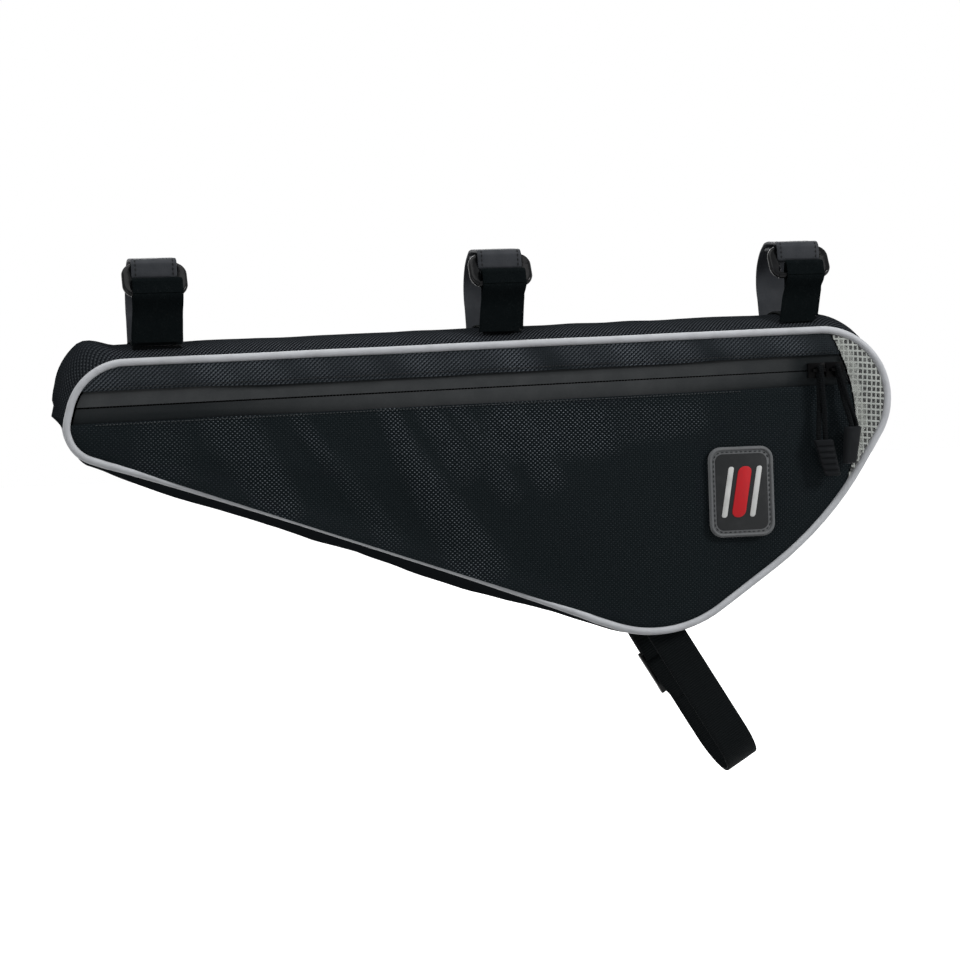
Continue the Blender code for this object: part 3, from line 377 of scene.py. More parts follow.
def make_materials():
    made = {key: moulded(*facts) for key, facts in MOULDED.items()}
    # Woven colours: flat where the painted sheen is 0, then the weave's dark and its painted glint
    # colour.
    colours = (0.0058, 0.0089, 0.0104), (0.0022, 0.0042, 0.0055), (0.165, 0.185, 0.205)
    made["nylon"] = woven("woven_nylon", YARN, *colours)
    colours = (0.0155, 0.0195, 0.0225), (0.0040, 0.0065, 0.0085), (0.175, 0.195, 0.22)
    made["nylon_top"] = woven("woven_nylon_top", YARN, *colours, 0.4)
    colours = (0.0145, 0.0172, 0.0198), (0.0008, 0.0014, 0.0022), (0.135, 0.148, 0.166)
    made["gusset"] = woven("woven_nylon_side", SIDE_YARN, *colours, 0.3, 0.0)
    # Tape: colour, worn colour, and the painted shade shown where the painted sheen is 0.
    colours = (0.0385, 0.0415, 0.0435), (0.049, 0.052, 0.054), (0.0048, 0.0066, 0.0076)
    made["tape"] = coated("coated_tape", *colours)
    made["band"] = coated("coated_band", (0.033, 0.036, 0.041), (0.047, 0.050, 0.056))
    made["piping"] = reflective("reflective_piping", (0.51, 0.525, 0.55), (0.42, 0.43, 0.45))
    made["webbing"] = ribbed("ribbed_webbing", 1.3, (0.0028, 0.0038, 0.0042), (0.0145, 0.0165, 0.0175))
    made["cord"] = ribbed("pull_cord", 0.9, (0.0016, 0.0020, 0.0023), (0.0125, 0.0138, 0.015))
    made["hook_loop"] = pile("hook_and_loop", (0.0044, 0.0062, 0.0068), (0.0125, 0.0148, 0.0155))
    made["film"] = film("clear_film", 0.07, (0.75, 0.78, 0.76))
    made["hem_film"] = film("film_hem", 0.5, (0.55, 0.58, 0.54))
    return made


# ---- plane geometry


def polar(centre, radius, degrees):
    angle = math.radians(degrees)
    return (centre[0] + radius * math.cos(angle), centre[1] + radius * math.sin(angle))


def circle(sides):
    """The angle, cosine and sine of each corner of a regular polygon."""
    angles = [math.tau * j / sides for j in range(sides)]
    return [(angle, math.cos(angle), math.sin(angle)) for angle in angles]


def arc(centre, radius, start, end, steps):
    return [polar(centre, radius, start + (end - start) * i / steps) for i in range(steps + 1)]


def clamp(value):
    return np.clip(value, 0, 1)


def ease(t):
    return t * t * (3 - 2 * t)


def pairs(ring):
    """Each point of the ring with the next one."""
    return zip(ring, ring[1:] + ring[:1])


def outline(turn_step=4.0, straight_step=5.0):
    """The bag's outline as rows of x, z, normal x, normal z, clockwise from the nose."""
    points = []
    for i, (corner, radius) in enumerate(CORNERS):
        corner = Vector(corner)
        to_last = (Vector(CORNERS[i - 1][0]) - corner).normalized()
        to_next = (Vector(CORNERS[(i + 1) % len(CORNERS)][0]) - corner).normalized()
        half = to_last.angle(to_next) / 2
        centre = corner + (to_last + to_next).normalized() * radius / math.sin(half)
        first = Vector((to_last.y, -to_last.x))
        if first.dot(centre - corner) > 0:
            first.negate()
        turn = math.pi - 2 * half
        steps = max(2, math.ceil(math.degrees(turn) / turn_step))
        start = math.atan2(first.y, first.x)
        for k in range(steps + 1):
            angle = start - turn * k / steps
            nx, nz = math.cos(angle), math.sin(angle)
            points.append((centre.x + nx * radius, centre.y + nz * radius, nx, nz))
    out = []
    for a, b in pairs(points):
        parts = max(1, round(math.dist(a[:2], b[:2]) / straight_step))
        for k in range(parts):
            out.append([p + (q - p) * k / parts for p, q in zip(a, b)])
    return np.array(out)


def inset_loop(inset, more=0.0):
    """The outline drawn in by inset, and by more of it where the panel rolls over the piping."""
    loop = outline()
    amount = np.array([inset + more * rolled(x, nz) for x, _, _, nz in loop])
    return [tuple(p) for p in loop[:, :2] - loop[:, 2:] * amount[:, None]]


def rolled(x, nz):
    """How far the panel rolls over the piping, 0 to 1, along the lower straight."""
    low, high = LOWER_STRAIGHT
    if nz > UNDERSIDE or not low < x < high:
        return 0.0
    return math.sin(math.pi * (x - low) / (high - low)) ** 0.6


def zip_line(x):
    return ZIP_HEIGHT + math.tan(ZIP_SLOPE) * x


def above_zip(offset, sign=1):
    return lambda p: sign * (p[1] - zip_line(p[0])) * math.cos(ZIP_SLOPE) - offset


def half_plane(x, z, nx, nz):
    return lambda p: (p[0] - x) * nx + (p[1] - z) * nz


def edge_planes():
    """Sides of the panels' round edge, for clip."""
    points = arc(EDGE_CENTRE, EDGE_RADIUS - EDGE_GAP, -60, 60, 40)
    planes = []
    for (ax, az), (bx, bz) in zip(points, points[1:]):
        length = math.hypot(bx - ax, bz - az)
        planes.append(half_plane(ax, az, -(bz - az) / length, (bx - ax) / length))
    return planes


def between(a, b, part, parts=1):
    return (a[0] + (b[0] - a[0]) * part / parts, a[1] + (b[1] - a[1]) * part / parts)


def clip(loop, planes, step):
    """What the planes leave of the loop, with a point at every step or less."""
    for side in planes:
        kept = []
        for a, b in pairs(loop):
            sa, sb = side(a), side(b)
            if sa >= 0:
                kept.append(a)
            if (sa >= 0) != (sb >= 0):
                kept.append(between(a, b, sa / (sa - sb)))
        loop = kept
    out = []
    for p in loop:
        if not out or math.dist(p, out[-1]) > 0.3:
            out.append(p)
    return refine_loop(out, step)


def refine_loop(loop, step):
    out = []
    for a, b in pairs(loop):
        parts = max(1, math.ceil(math.dist(a, b) / step))
        out += [between(a, b, k, parts) for k in range(parts)]
    return out


def edge_distance(points, loop):
    """Distance from each point to the loop's nearest side."""
    points = np.asarray(points, float)
    best = np.full(len(points), 1e9)
    for a, b in pairs(loop):
        a = np.array(a)
        d = np.array(b) - a
        t = clamp(((points - a) @ d) / (d @ d))
        best = np.minimum(best, np.hypot(*(points - a - t[:, None] * d).T))
    return best


def inside(points, loop):
    points = np.asarray(points, float)
    hit = np.zeros(len(points), bool)
    for (ax, az), (bx, bz) in pairs(loop):
        if az != bz:
            crosses = (az > points[:, 1]) != (bz > points[:, 1])
            hit ^= crosses & (points[:, 0] < ax + (bx - ax) * (points[:, 1] - az) / (bz - az))
    return hit


def rounded(size, radius, steps=8):
    """A rectangle's outline with round corners."""
    points = []
    for turn, (sx, sz) in enumerate(((1, 1), (-1, 1), (-1, -1), (1, -1))):
        centre = (sx * (size[0] / 2 - radius), sz * (size[1] / 2 - radius))
        points += arc(centre, radius, 90 * turn, 90 * turn + 90, steps)
    return points


# ---- meshes


def add_object(name, data):
    obj = bpy.data.objects.new(name, data)
    bpy.context.scene.collection.objects.link(obj)
    return obj


def vertices(obj):
    """The mesh's points in millimetres."""
    return np.array([v.co for v in obj.data.vertices]) / MM


def move_vertices(obj, co):
    obj.data.vertices.foreach_set("co", (co * MM).ravel())
    obj.data.update()


def dress(obj, mat, body, fits):
    """Gives the piece its material and body; fits holds the CAD node that the piece stands for, which is
    hidden, and its slot, which is not used.
    """
    obj.data.materials.append(materials[mat])
    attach(obj, body)
    if fits:
        node, slot = fits
        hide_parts(node)
    return obj


def smoothed(mesh, sharp):
    mesh.shade_smooth()
    mesh.set_sharp_from_angle(angle=math.radians(sharp))


def piece(name, verts, faces, mat, body="bag", fits=None, uvs=None, sharp=40):
    """A named mesh from points in millimetres; uvs has one pair for each corner of each face."""
    mesh = bpy.data.meshes.new(name)
    mesh.from_pydata([tuple(v) for v in np.asarray(verts, float) * MM], [], faces)
    mesh.validate()
    if uvs is not None:
        layer = mesh.uv_layers.new(name="UVMap")
        layer.data.foreach_set("uv", (np.asarray(uvs, float) * MM).ravel())
    smoothed(mesh, sharp)
    return dress(add_object(name, mesh), mat, body, fits)


def grid_piece(name, points, u, v, mat, closed=False, **words):
    """A surface through rings of points, closed along u or capped; u and v are its flat lengths."""
    points = np.asarray(points, float)
    rows, columns = points.shape[:2]
    faces, uvs = [], []
    for i in range(rows if closed else rows - 1):
        for j in range(columns):
            i2, j2 = (i + 1) % rows, (j + 1) % columns
            faces.append((i * columns + j, i * columns + j2, i2 * columns + j2, i2 * columns + j))
            uvs += [(u[i], v[j]), (u[i], v[j + 1]), (u[i + 1], v[j + 1]), (u[i + 1], v[j])]
    if not closed:
        round_trip = list(range(columns))
        for i, cap in ((0, round_trip[::-1]), (rows - 1, round_trip)):
            faces.append(tuple(i * columns + j for j in cap))
            uvs += [(u[i], v[j]) for j in cap]
    return piece(name, points.reshape(-1, 3), faces, mat, uvs=uvs, **words)


def lengths(points, closed=False):
    points = np.asarray(points, float)
    if closed:
        points = np.vstack([points, points[:1]])
    return np.concatenate([[0], np.cumsum(np.linalg.norm(np.diff(points, axis=0), axis=1))])


def sheet(name, loop, front, mat, thickness, step, outward=-1, **words):
    """A sheet with this outline; front gives y for arrays of x, z and distance to the edge."""
    low, high = np.min(loop, axis=0), np.max(loop, axis=0)
    xs = np.arange(low[0], high[0], step)
    zs = np.arange(low[1], high[1], step * 0.87)
    grid = np.array([(x + (step / 2 if k % 2 else 0), z) for k, z in enumerate(zs) for x in xs])
    grid = grid[inside(grid, loop)]
    grid = grid[edge_distance(grid, loop) > step * 0.6]
    flat = [Vector(p) for p in loop + [tuple(p) for p in grid]]
    flat, _, tris, *_ = delaunay_2d_cdt(flat, [], [list(range(len(loop)))], 1, 1e-7)
    flat = np.array([(p.x, p.y) for p in flat])
    y = front(flat[:, 0], flat[:, 1], edge_distance(flat, loop))
    outer = np.column_stack([flat[:, 0], y, flat[:, 1]])
    inner = outer - np.array([0, outward * thickness, 0])
    count = len(flat)
    faces = [tuple(t) for t in tris]
    edges = {(a, b) for t in tris for a, b in zip(t, (*t[1:], t[0]))}
    faces += [tuple(count + i for i in reversed(t)) for t in tris]
    faces += [(b, a, count + a, count + b) for a, b in edges if (b, a) not in edges]
    if outward > 0:
        faces = [f[::-1] for f in faces]
    both = np.vstack([flat, flat])
    uvs = [both[i] for f in faces for i in f]
    return piece(name, np.vstack([outer, inner]), faces, mat, uvs=uvs, **words)


def smooth_path(points, step=1.0):
    """The points joined by a smooth curve, sampled evenly."""
    pts = [np.array(p, float) for p in points]
    pts = [2 * pts[0] - pts[1], *pts, 2 * pts[-1] - pts[-2]]
    out = []
    for a, b, c, d in zip(pts, pts[1:], pts[2:], pts[3:]):
        parts = max(2, round(np.linalg.norm(c - b) / step))
        for k in range(parts):
            t = k / parts
            curve = 2 * b + (c - a) * t + (2 * a - 5 * b + 4 * c - d) * t**2
            out.append(0.5 * (curve + (3 * b - a - 3 * c + d) * t**3))
    out.append(pts[-2])
    return np.array(out)


def smooth_closed(points):
    """The same for a ring of points, from the first point round to it again."""
    dense = smooth_path([points[-2], points[-1], *points, points[0], points[1]], 0.8)
    gap = np.linalg.norm(dense - np.array(points[0]), axis=1)
    middle = len(dense) // 2
    return dense[np.argmin(gap[:middle]) : middle + np.argmin(gap[middle:])]


def unit(rows):
    return rows / np.linalg.norm(rows, axis=1)[:, None]


def directions(path):
    return unit(np.gradient(path, axis=0))


def band(name, path, place, mat, width=WEBBING_WIDTH, thickness=WEBBING, skew=(0.0, 0.0), **words):
    """Webbing along a path of (a, b) points, with rounded selvedges.

    place turns a, b and the way across into a point; skew slants the two ends.
    """
    path = smooth_path(path)
    half, r = width / 2, thickness / 2
    section = [(a, r) for a in np.linspace(-half + r, half - r, 12)]
    section += [(half - r + r * math.sin(t), r * math.cos(t)) for t in (0.8, 1.57, 2.34)]
    section += [(a, -r) for a in np.linspace(half - r, -half + r, 12)]
    section += [(-half + r - r * math.sin(t), r * math.cos(t)) for t in (2.34, 1.57, 0.8)]
    u = lengths(path)
    points = []
    for way, p, t in zip(u, path, directions(path)):
        normal = np.array([-t[1], t[0]])
        ends = max(0.0, 1 - way / 8) * skew[0] + max(0.0, 1 - (u[-1] - way) / 8) * skew[1]
        row = []
        for across, out in section:
            wobble = 0.12 * noise.noise((way * 0.13, across * 0.11, len(name)))
            a, b = p + normal * (out + wobble) + t * ends * across
            row.append(place(a, b, across))
        points.append(row)
    return grid_piece(name, points, u, lengths(section, closed=True), mat, **words)


def tube(name, path, radius, mat, closed=False, sides=14, ripple=None, **words):
    """A round bar or cord along a path; ripple gives a factor on the radius for length and angle."""
    path = np.asarray(path, float)
    if closed:
        along = unit(np.roll(path, -1, axis=0) - np.roll(path, 1, axis=0))
    else:
        along = directions(path)
    u = lengths(path, closed)
    normal = Vector(along[0]).orthogonal()
    points = []
    for way, p, t in zip(u, path, along):
        t = Vector(t)
        normal = (normal - t * normal.dot(t)).normalized()
        other = t.cross(normal)
        row = []
        for angle, c, s in circle(sides):
            r = radius * (ripple(way, angle) if ripple else 1.0)
            row.append(Vector(p) + (normal * c + other * s) * r)
        points.append(row)
    v = [math.tau * radius * j / sides for j in range(sides + 1)]
    return grid_piece(name, points, u, v, mat, closed, **words)


def add_solid(verts, faces, rings):
    """Adds a closed solid through rings of points."""
    base, sides = len(verts), len(rings[0])
    for k, ring in enumerate(rings):
        verts += ring
        for j in range(sides if k else 0):
            a, b = base + (k - 1) * sides + j, base + (k - 1) * sides + (j + 1) % sides
            faces.append((a, b, b + sides, a + sides))
    faces.append(tuple(range(base + sides - 1, base - 1, -1)))
    faces.append(tuple(range(len(verts) - sides, len(verts))))


def sample(way, u, values):
    return np.array([np.interp(way, u, values[:, k]) for k in range(3)])


def stitches(name, rows, mat, pitch, stitch, radius=0.28):
    """Rows of thread stitches: each row is a path of points with the outward direction of each."""
    verts, faces = [], []
    for path, out in rows:
        path = np.asarray(path, float)
        out = np.broadcast_to(np.asarray(out, float), path.shape)
        u = lengths(path)
        start = pitch / 2
        while start + stitch < u[-1]:
            spots = [sample(start + stitch * t, u, path) for t in (0, 0.5, 1)]
            lift = sample(start + stitch / 2, u, out)
            along = (spots[2] - spots[0]) / np.linalg.norm(spots[2] - spots[0])
            side = np.cross(along, lift)
            rings = []
            for spot, r, rise in zip(spots, (0.35, 1.0, 0.35), (-0.15, 0.2, -0.15)):
                middle = spot + lift * rise
                rings.append([middle + (side * c + lift * s) * radius * r for _, c, s in circle(6)])
            add_solid(verts, faces, rings)
            start += pitch
    return piece(name, verts, faces, mat, sharp=80)


# ---- shell


# Folds of the lower panel: start, end, half widths at both, height, painted sheen (a painted highlight
# along the fold)
FOLDS = (
    ((-183, -58), (-185, -94), (17, 17), 0.3, 0.45),
    ((-155, -56), (-121, -114), (16, 10), 1.0, 0.9),
    ((-115, -62), (-99, -86), (4.5, 4.5), 0.7, 0.75),
    ((-99, -84), (-64, -132), (5.5, 8), 0.7, 0.45),
    ((-68, -58), (-55, -92), (5, 8), 1.1, 1.0),
    ((-58, -84), (-18, -150), (8, 15), 1.8, 1.0),
    ((-48, -58), (-25, -97), (6.5, 9), 1.0, 0.95),
    ((-32, -56), (-4, -108), (5, 7), 0.9, 0.8),
    ((-14, -74), (52, -75), (16, 14), 0.6, 1.3),
    ((-6, -60), (20, -104), (6, 9), 0.8, 0.9),
    ((50, -72), (104, -70), (13, 10), 0.4, 0.7),
)
# Painted sheen of the lower panel's cloth away from its folds
LOOSE_PAINTED_SHEEN = 0.12


def fold_shape(x, z, start, end, widths, power):
    """1 along a fold's line, falling to 0 beside it and beyond its ends."""
    d = np.array(end, float) - start
    length = np.hypot(*d)
    d /= length
    share = ((x - start[0]) * d[0] + (z - start[1]) * d[1]) / length
    off = (x - start[0]) * -d[1] + (z - start[1]) * d[0]
    width = widths[0] + (widths[1] - widths[0]) * clamp(share)
    return np.exp(-np.abs((share - 0.5) / 0.56) ** 8) * np.exp(-np.abs(off / width) ** power)


def relief(x, z):
    """Folds and slack of the lower panel."""
    y = 0.35 * np.sin(x / 31.0 + z / 23.0) + 0.2 * np.sin(x / 17.0 - z / 29.0)
    for start, end, widths, height, _ in FOLDS:
        y = y + height * fold_shape(x, z, start, end, widths, 2.0)
    return y


def set_painted_sheen(obj, values):
    """Stores the painted sheen, how brightly the weave is painted as lit: values is a function of x, y
    and z in millimetres.
    """
    layer = obj.data.attributes.new("painted_sheen", "FLOAT", "POINT")
    layer.data.foreach_set("value", np.clip(values(*vertices(obj).T), 0, None).astype(np.float32))


def fold_painted_sheen(x, _, z):
    """Painted sheen of the lower panel's cloth: painted highlights, highest on its folds."""
    out = np.full(np.shape(x), LOOSE_PAINTED_SHEEN)
    for start, end, widths, _, painted_sheen in FOLDS:
        out = np.maximum(out, painted_sheen * fold_shape(x, z, start, end, widths, 4.0))
    return out


# Painted sheen of the upper panel: a slow random drift, with painted shade towards its right end beside
# the pulls.
def upper_painted_sheen(x, _, z):
    drift = np.array([noise.noise((a * 0.045 + c * 0.04, 2.0, 7.0)) for a, c in zip(x, z)])
    return (0.6 + 1.3 * drift) * np.interp(x, (110, 165), (1.0, 0.5))


def band_painted_sheen(x, y, z):
    """Painted sheen of the side band: painted light on the top and the nose, most of all beside the
    piping, and painted shade on its lower part.
    """
    high = clamp((z - zip_line(x) + 14) / 12)
    beside = 0.3 + 0.7 * clamp((np.abs(y) - 10) / 9)
    return 0.06 + high * beside * np.interp(x, (-215, -190, 60, 165), (0.45, 1.0, 1.0, 0.6))


def near_edge(distance, reach):
    """1 at the edge, falling smoothly over about this reach."""
    return np.exp(-((distance / reach) ** 2))


def rim(distance):
    return RIM_DEPTH * clamp(1 - distance / RIM_WIDTH) ** 2


def front_face(folds):
    def y(x, z, distance):
        swell = CROWN * (1 - near_edge(distance, CROWN_REACH))
        calm = 1 - near_edge(distance, 9.0)
        roll = np.array([rolled(a, -1.0) if b < -75 else 0.0 for a, b in zip(x, z)])
        roll = roll * near_edge(distance, 8.0)
        lift = swell + calm * folds * relief(x, z) + roll * ROLL_DEPTH
        return -(FACE + lift - rim(distance) * (1 - roll))

    return y


def flap(x):
    """How far the upper panel's folded edge hangs over the zip's slot."""
    return np.interp(x, (-160, -130, -40, -20, 85, 125), (0.0, 1.1, 1.1, 0.75, 0.75, 0.0))


def make_panels():
    whole = inset_loop(PANEL_INSET, PIPING_RISE - ROLL_LAP)
    upper = clip(whole, [above_zip(ZIP_HALF_SLOT), *edge_planes()], 3.5)
    upper = [(x, z - flap(x)) if z < zip_line(x) + ZIP_HALF_SLOT + 1 else (x, z) for x, z in upper]
    lower = clip(whole, [above_zip(ZIP_HALF_SLOT, -1), *edge_planes()], 3.0)
    # Each front panel gets its painted sheen: painted highlights on its folds.
    for name, loop, folds, mat, step, painted_sheen in (
        ("upper", upper, 0.5, "nylon_top", 3.0, upper_painted_sheen),
        ("lower", lower, 1.0, "nylon", 2.4, fold_painted_sheen),
    ):
        fits = (f"front_panel_{name}", "nylon")
        panel = sheet(f"{name}_panel", loop, front_face(folds), mat, FABRIC, step, fits=fits)
        set_painted_sheen(panel, painted_sheen)
    for name, offset, end, mat in (
        ("upper", ZIP_HALF_SLOT + 1.2, 178, "thread"),
        ("lower", -ZIP_HALF_SLOT - 0.9, 128, "thread_pale"),
    ):
        line = [(x, -FACE - 0.3, zip_line(x) + offset) for x in np.arange(-219, end, 4.0)]
        stitches(f"zip_seam_{name}", [(line, (0, -1, 0))], mat, 1.75, 1.2, 0.26)


def make_back():
    def y(x, z, distance):
        calm = 1 - near_edge(distance, 20.0)
        return FACE + calm * (0.25 * relief(x + BACK_SHIFT, z) + 0.3) - rim(distance)

    loop = refine_loop(inset_loop(PANEL_INSET), 5.0)
    back = sheet("rear_panel", loop, y, "nylon", FABRIC, 6.0, 1, fits=("back_panel", "nylon"))
    # Painted sheen of the back panel: painted highlights on its folds, the front's moved along x.
    set_painted_sheen(back, lambda x, y, z: 0.2 + 0.5 * fold_painted_sheen(x + BACK_SHIFT, y, z))
    settle(back)


def middle_bulge(x, nz):
    """How far the middle of the side band stands out beyond the outline."""
    rear = np.interp(x, *LOWER_EDGE) if nz < UNDERSIDE else 4.0 + 5.8 * max(0.0, nz) ** 3
    rear += 0.35 * noise.noise((x * 0.06, nz * 2.0, 5.0))
    nose = np.interp(nz, *NOSE_BULGE)
    return nose + (rear - nose) * ease(clamp((x + 216.0) / 13.0))


def arch(y):
    """Share of the bulge across the side band: 1 in its middle, 0 at its edges."""
    return 1 - min(1.0, abs(y) / GUSSET_HALF) ** GUSSET_ROUNDNESS


def bulge(x, y, nz):
    sway = 0.5 * noise.noise((x * 0.03, y * 0.07, nz * 2.0))
    return (middle_bulge(x, nz) + sway) * arch(y)


def settle(obj):
    """Draws the low back of the nose in, where the real bag tapers."""
    co = vertices(obj)
    x, y, z = co.T
    near = clamp((-150 - x) / 80)
    back = clamp((y + 24) / 52) ** 1.3
    low = clamp((-z - 56) / 10)
    co[:, 0] += ease(near) * back * 3.6 * ease(low)
    move_vertices(obj, co)


def make_gusset():
    loop = outline()
    stations = [-GUSSET_HALF * math.cos(math.pi * k / 22) for k in range(23)]
    section = [(y, 0.0) for y in stations] + [(y, FABRIC) for y in reversed(stations)]
    points = []
    for x, z, nx, nz in loop:
        row = []
        for y, depth in section:
            out = bulge(x, y, nz) - depth
            row.append((x + nx * out, y, z + nz * out))
        points.append(row)
    u = lengths(loop[:, :2], closed=True)
    v = lengths(points[0], closed=True)
    side = grid_piece("side_band", points, u, v, "gusset", True, fits=("gusset", "nylon"))
    set_painted_sheen(side, band_painted_sheen)
    settle(side)


def make_pipings():
    loop = outline(3.0, 3.0)
    u = lengths(loop[:, :2], closed=True)
    v = [math.tau * PIPING_RADIUS * j / PIPING_SIDES for j in range(PIPING_SIDES + 1)]
    for name, side in (("front", -1), ("back", 1)):
        points = []
        for way, (x, z, nx, nz) in zip(u, loop):
            sway = 0.25 * noise.noise((x * 0.02, z * 0.02, side * 3.0))
            if side < 0:
                sway -= PIPING_RISE * rolled(x, nz)
            row = []
            for _, a, b in circle(PIPING_SIDES):
                r = PIPING_RADIUS * (1 + 0.03 * noise.noise((way * 0.25, a, b)))
                out = r * a + sway
                row.append((x + nx * out, side * HALF_DEPTH + r * b, z + nz * out))
            points.append(row)
        fits = (f"{name}_piping", "piping")
        cord = grid_piece(f"piping_{name}", points, u, v, "piping", True, fits=fits)
        if side > 0:
            settle(cord)


# ---- zip


def lower_tape_painted_light(x, _, z):
    """Painted light and shade on the lower tape: pale in the bag's middle and darker towards both ends
    and its lower edge.
    """
    tone_and_painted_light = np.interp(x, (-205, -170, -105, -25, 70, 150, 158), (0.22, 0.12, 0.75, 1.0, 0.95, 0.5, 0.0))
    edge = clamp((zip_line(x) - z - 3.5) / 4)
    return tone_and_painted_light - edge * np.interp(x, (-170, -105, -25, 70, 155), (0.5, 0.35, 0.05, 0.1, 0.5))


def upper_tape_painted_shade(x, _, z):
    """Painted shade on the upper tape: darker under the panel's flap, and dark behind the sliders."""
    shadow = clamp((z - zip_line(x) - 5.3) / 1.2)
    tone_and_painted_light = np.interp(x, (-200, 10, 100, 150, 158), (1.0, 1.0, 0.85, 0.55, 0.0))
    return tone_and_painted_light - 0.85 * shadow * clamp(flap(x))


def make_tapes():
    def y(x, z, distance):
        off = np.abs(z - zip_line(x))
        rise = 0.9 * clamp(off / ZIP_HALF_SLOT) ** 1.6
        return TAPE_FRONT + rise + 0.25 * clamp(1 - distance)

    whole = inset_loop(TAPE_INSET)
    # Each tape's painted light and shade is stored as its painted sheen.
    for name, sign, tone_and_painted_light in (("upper", 1, upper_tape_painted_shade), ("lower", -1, lower_tape_painted_light)):
        sides = above_zip(ZIP_SLIT / 2, sign), above_zip(-ZIP_SLIT / 2 - TAPE_WIDTH, -sign)
        loop = clip(whole, [*sides, *edge_planes()], 3.0)
        fits = (f"zip_tape_{name}", "zip_tape")
        set_painted_sheen(sheet(f"tape_{name}", loop, y, "tape", TAPE_THICKNESS, 2.2, fits=fits), tone_and_painted_light)


def bevelled(name, new_name, mat, body, slot, width=0.22):
    """A copy of a rigid CAD node with softened edges."""
    mesh = bpy.data.objects[name].data.copy()
    mesh.materials.clear()
    obj = add_object(new_name, mesh)
    obj.modifiers.new("Weld", "WELD").merge_threshold = 0.00001
    planar = obj.modifiers.new("Planar", "DECIMATE")
    planar.decimate_type = "DISSOLVE"
    planar.angle_limit = math.radians(3)
    bevel = obj.modifiers.new("Bevel", "BEVEL")
    bevel.width = width * MM
    bevel.segments = 2
    bevel.limit_method = "ANGLE"
    bevel.angle_limit = math.radians(35)
    bpy.context.view_layer.update()
    evaluated = obj.evaluated_get(bpy.context.evaluated_depsgraph_get())
    final = bpy.data.meshes.new_from_object(evaluated)
    obj.modifiers.clear()
    obj.data = final
    smoothed(final, 40)
    return dress(obj, mat, body, (name, slot))


def make_zip(nodes):
    make_tapes()
    for name in ("zip_teeth_upper", "zip_teeth_lower", "zip_stop_nose"):
        nodes[name].data.materials.clear()
        nodes[name].data.materials.append(materials["teeth"])
    for side in PULLS:
        bevelled(f"zip_slider_{side}", f"slider_{side}_cast", "slider", f"slider_{side}", "slider")


def make_pulls():
    def braid(way, angle):
        return 1 + 0.06 * math.sin(way * 5 + 3 * angle) * math.sin(way * 5 - 3 * angle)

    for side, (bridge, lean, drop, tilt, turn) in PULLS.items():
        top = Vector(bridge)
        grip_top = Vector((top.x + lean, GRIP_Y, top.z - drop))
        along = Vector((tilt, 0.0, -1.0)).normalized()
        across = Matrix.Rotation(turn, 3, along) @ Vector((1, 0, 0))
        strands = []
        for sign in (-1, 1):
            end = grip_top + across * CORD_SPREAD * sign
            start = top - Vector((0, CORD_WRAP * sign, 0))
            hanging = [start.lerp(end, 0.55), start.lerp(end, 0.2)]
            strands.append([end + along * 2.2, end - along * 2, *hanging])
        bend = []
        for degrees in range(0, 181, 30):
            angle = math.radians(degrees)
            bend.append(top + Vector((0, CORD_WRAP * math.cos(angle), CORD_WRAP * math.sin(angle))))
        path = smooth_path(strands[0] + bend + strands[1][::-1], 0.35)
        words = {"body": f"pull_{side}", "fits": (f"pull_cord_{side}", "pull_cord")}
        tube(f"cord_{side}", path, CORD_RADIUS, "cord", sides=12, ripple=braid, **words)
        make_grip(side, grip_top, along, across)


def make_grip(side, top, along, across):
    """Moulded grip with a squarish section; the left one's broad side shows, with its grooves."""
    out = along.cross(across)
    breadth, depth, length = GRIP_SIZE
    steps, sides = 80, 28
    points = []
    for k in range(steps + 1):
        t = k / steps
        width = breadth - GRIP_NARROWING * t
        thick = depth * (1 - 0.25 * t)
        end = min(t, 1 - t) * length
        if end < GRIP_EDGE:
            shrink = GRIP_EDGE - math.sqrt(max(0.0, GRIP_EDGE**2 - (GRIP_EDGE - end) ** 2))
            width -= 2 * shrink
            thick -= 2 * shrink
        groove = 0.0
        if side == "left" and GROOVE_START < t < 0.95:
            phase = math.tau * (t - GROOVE_START) / GROOVE_PITCH
            groove = GROOVE_DEPTH * (0.5 - 0.5 * math.cos(phase)) ** 2
        row = []
        for _, c, s in circle(sides):
            a = width / 2 * math.copysign(abs(c) ** 0.45, c)
            b = thick / 2 * math.copysign(abs(s) ** 0.45, s)
            b -= math.copysign(groove * abs(s) ** 0.5, s)
            row.append(top + along * length * t + across * a + out * b)
        points.append(row)
    u = np.linspace(0, length, steps + 1)
    v = np.linspace(0, GRIP_GIRTH, sides + 1)
    words = {"body": f"pull_{side}", "fits": (f"pull_grip_{side}", "grip")}
    grid_piece(f"grip_{side}", points, u, v, "grip", sharp=60, **words)


# ---- window


def edge_angle(point):
    """Degrees round the centre of the panels' round edge."""
    return math.degrees(math.atan2(point[1] - EDGE_CENTRE[1], point[0] - EDGE_CENTRE[0]))


def window_loop():
    """The crescent between the panels' round edge and the piping."""
    loop = inset_loop(PANEL_INSET)
    radius = EDGE_RADIUS + EDGE_GAP
    out = [math.dist(p, EDGE_CENTRE) > radius and p[0] > EDGE_CENTRE[0] for p in loop]
    start = next(i for i in range(len(loop)) if out[i] and not out[i - 1])
    run = []
    for p, beyond in zip(loop[start:] + loop[:start], out[start:] + out[:start]):
        if not beyond:
            break
        run.append(p)
    return refine_loop(run + arc(EDGE_CENTRE, radius, edge_angle(run[-1]), edge_angle(run[0]), 40), 2.0)


def film_face(lift):
    def y(x, z, distance):
        swell = 0.9 * (1 - near_edge(distance, 7.0))
        ripple = 0.25 * np.sin(z / 6.5 + x / 9.0) * clamp(distance / 6.0)
        return -(FILM_FACE + lift + swell + ripple)

    return y


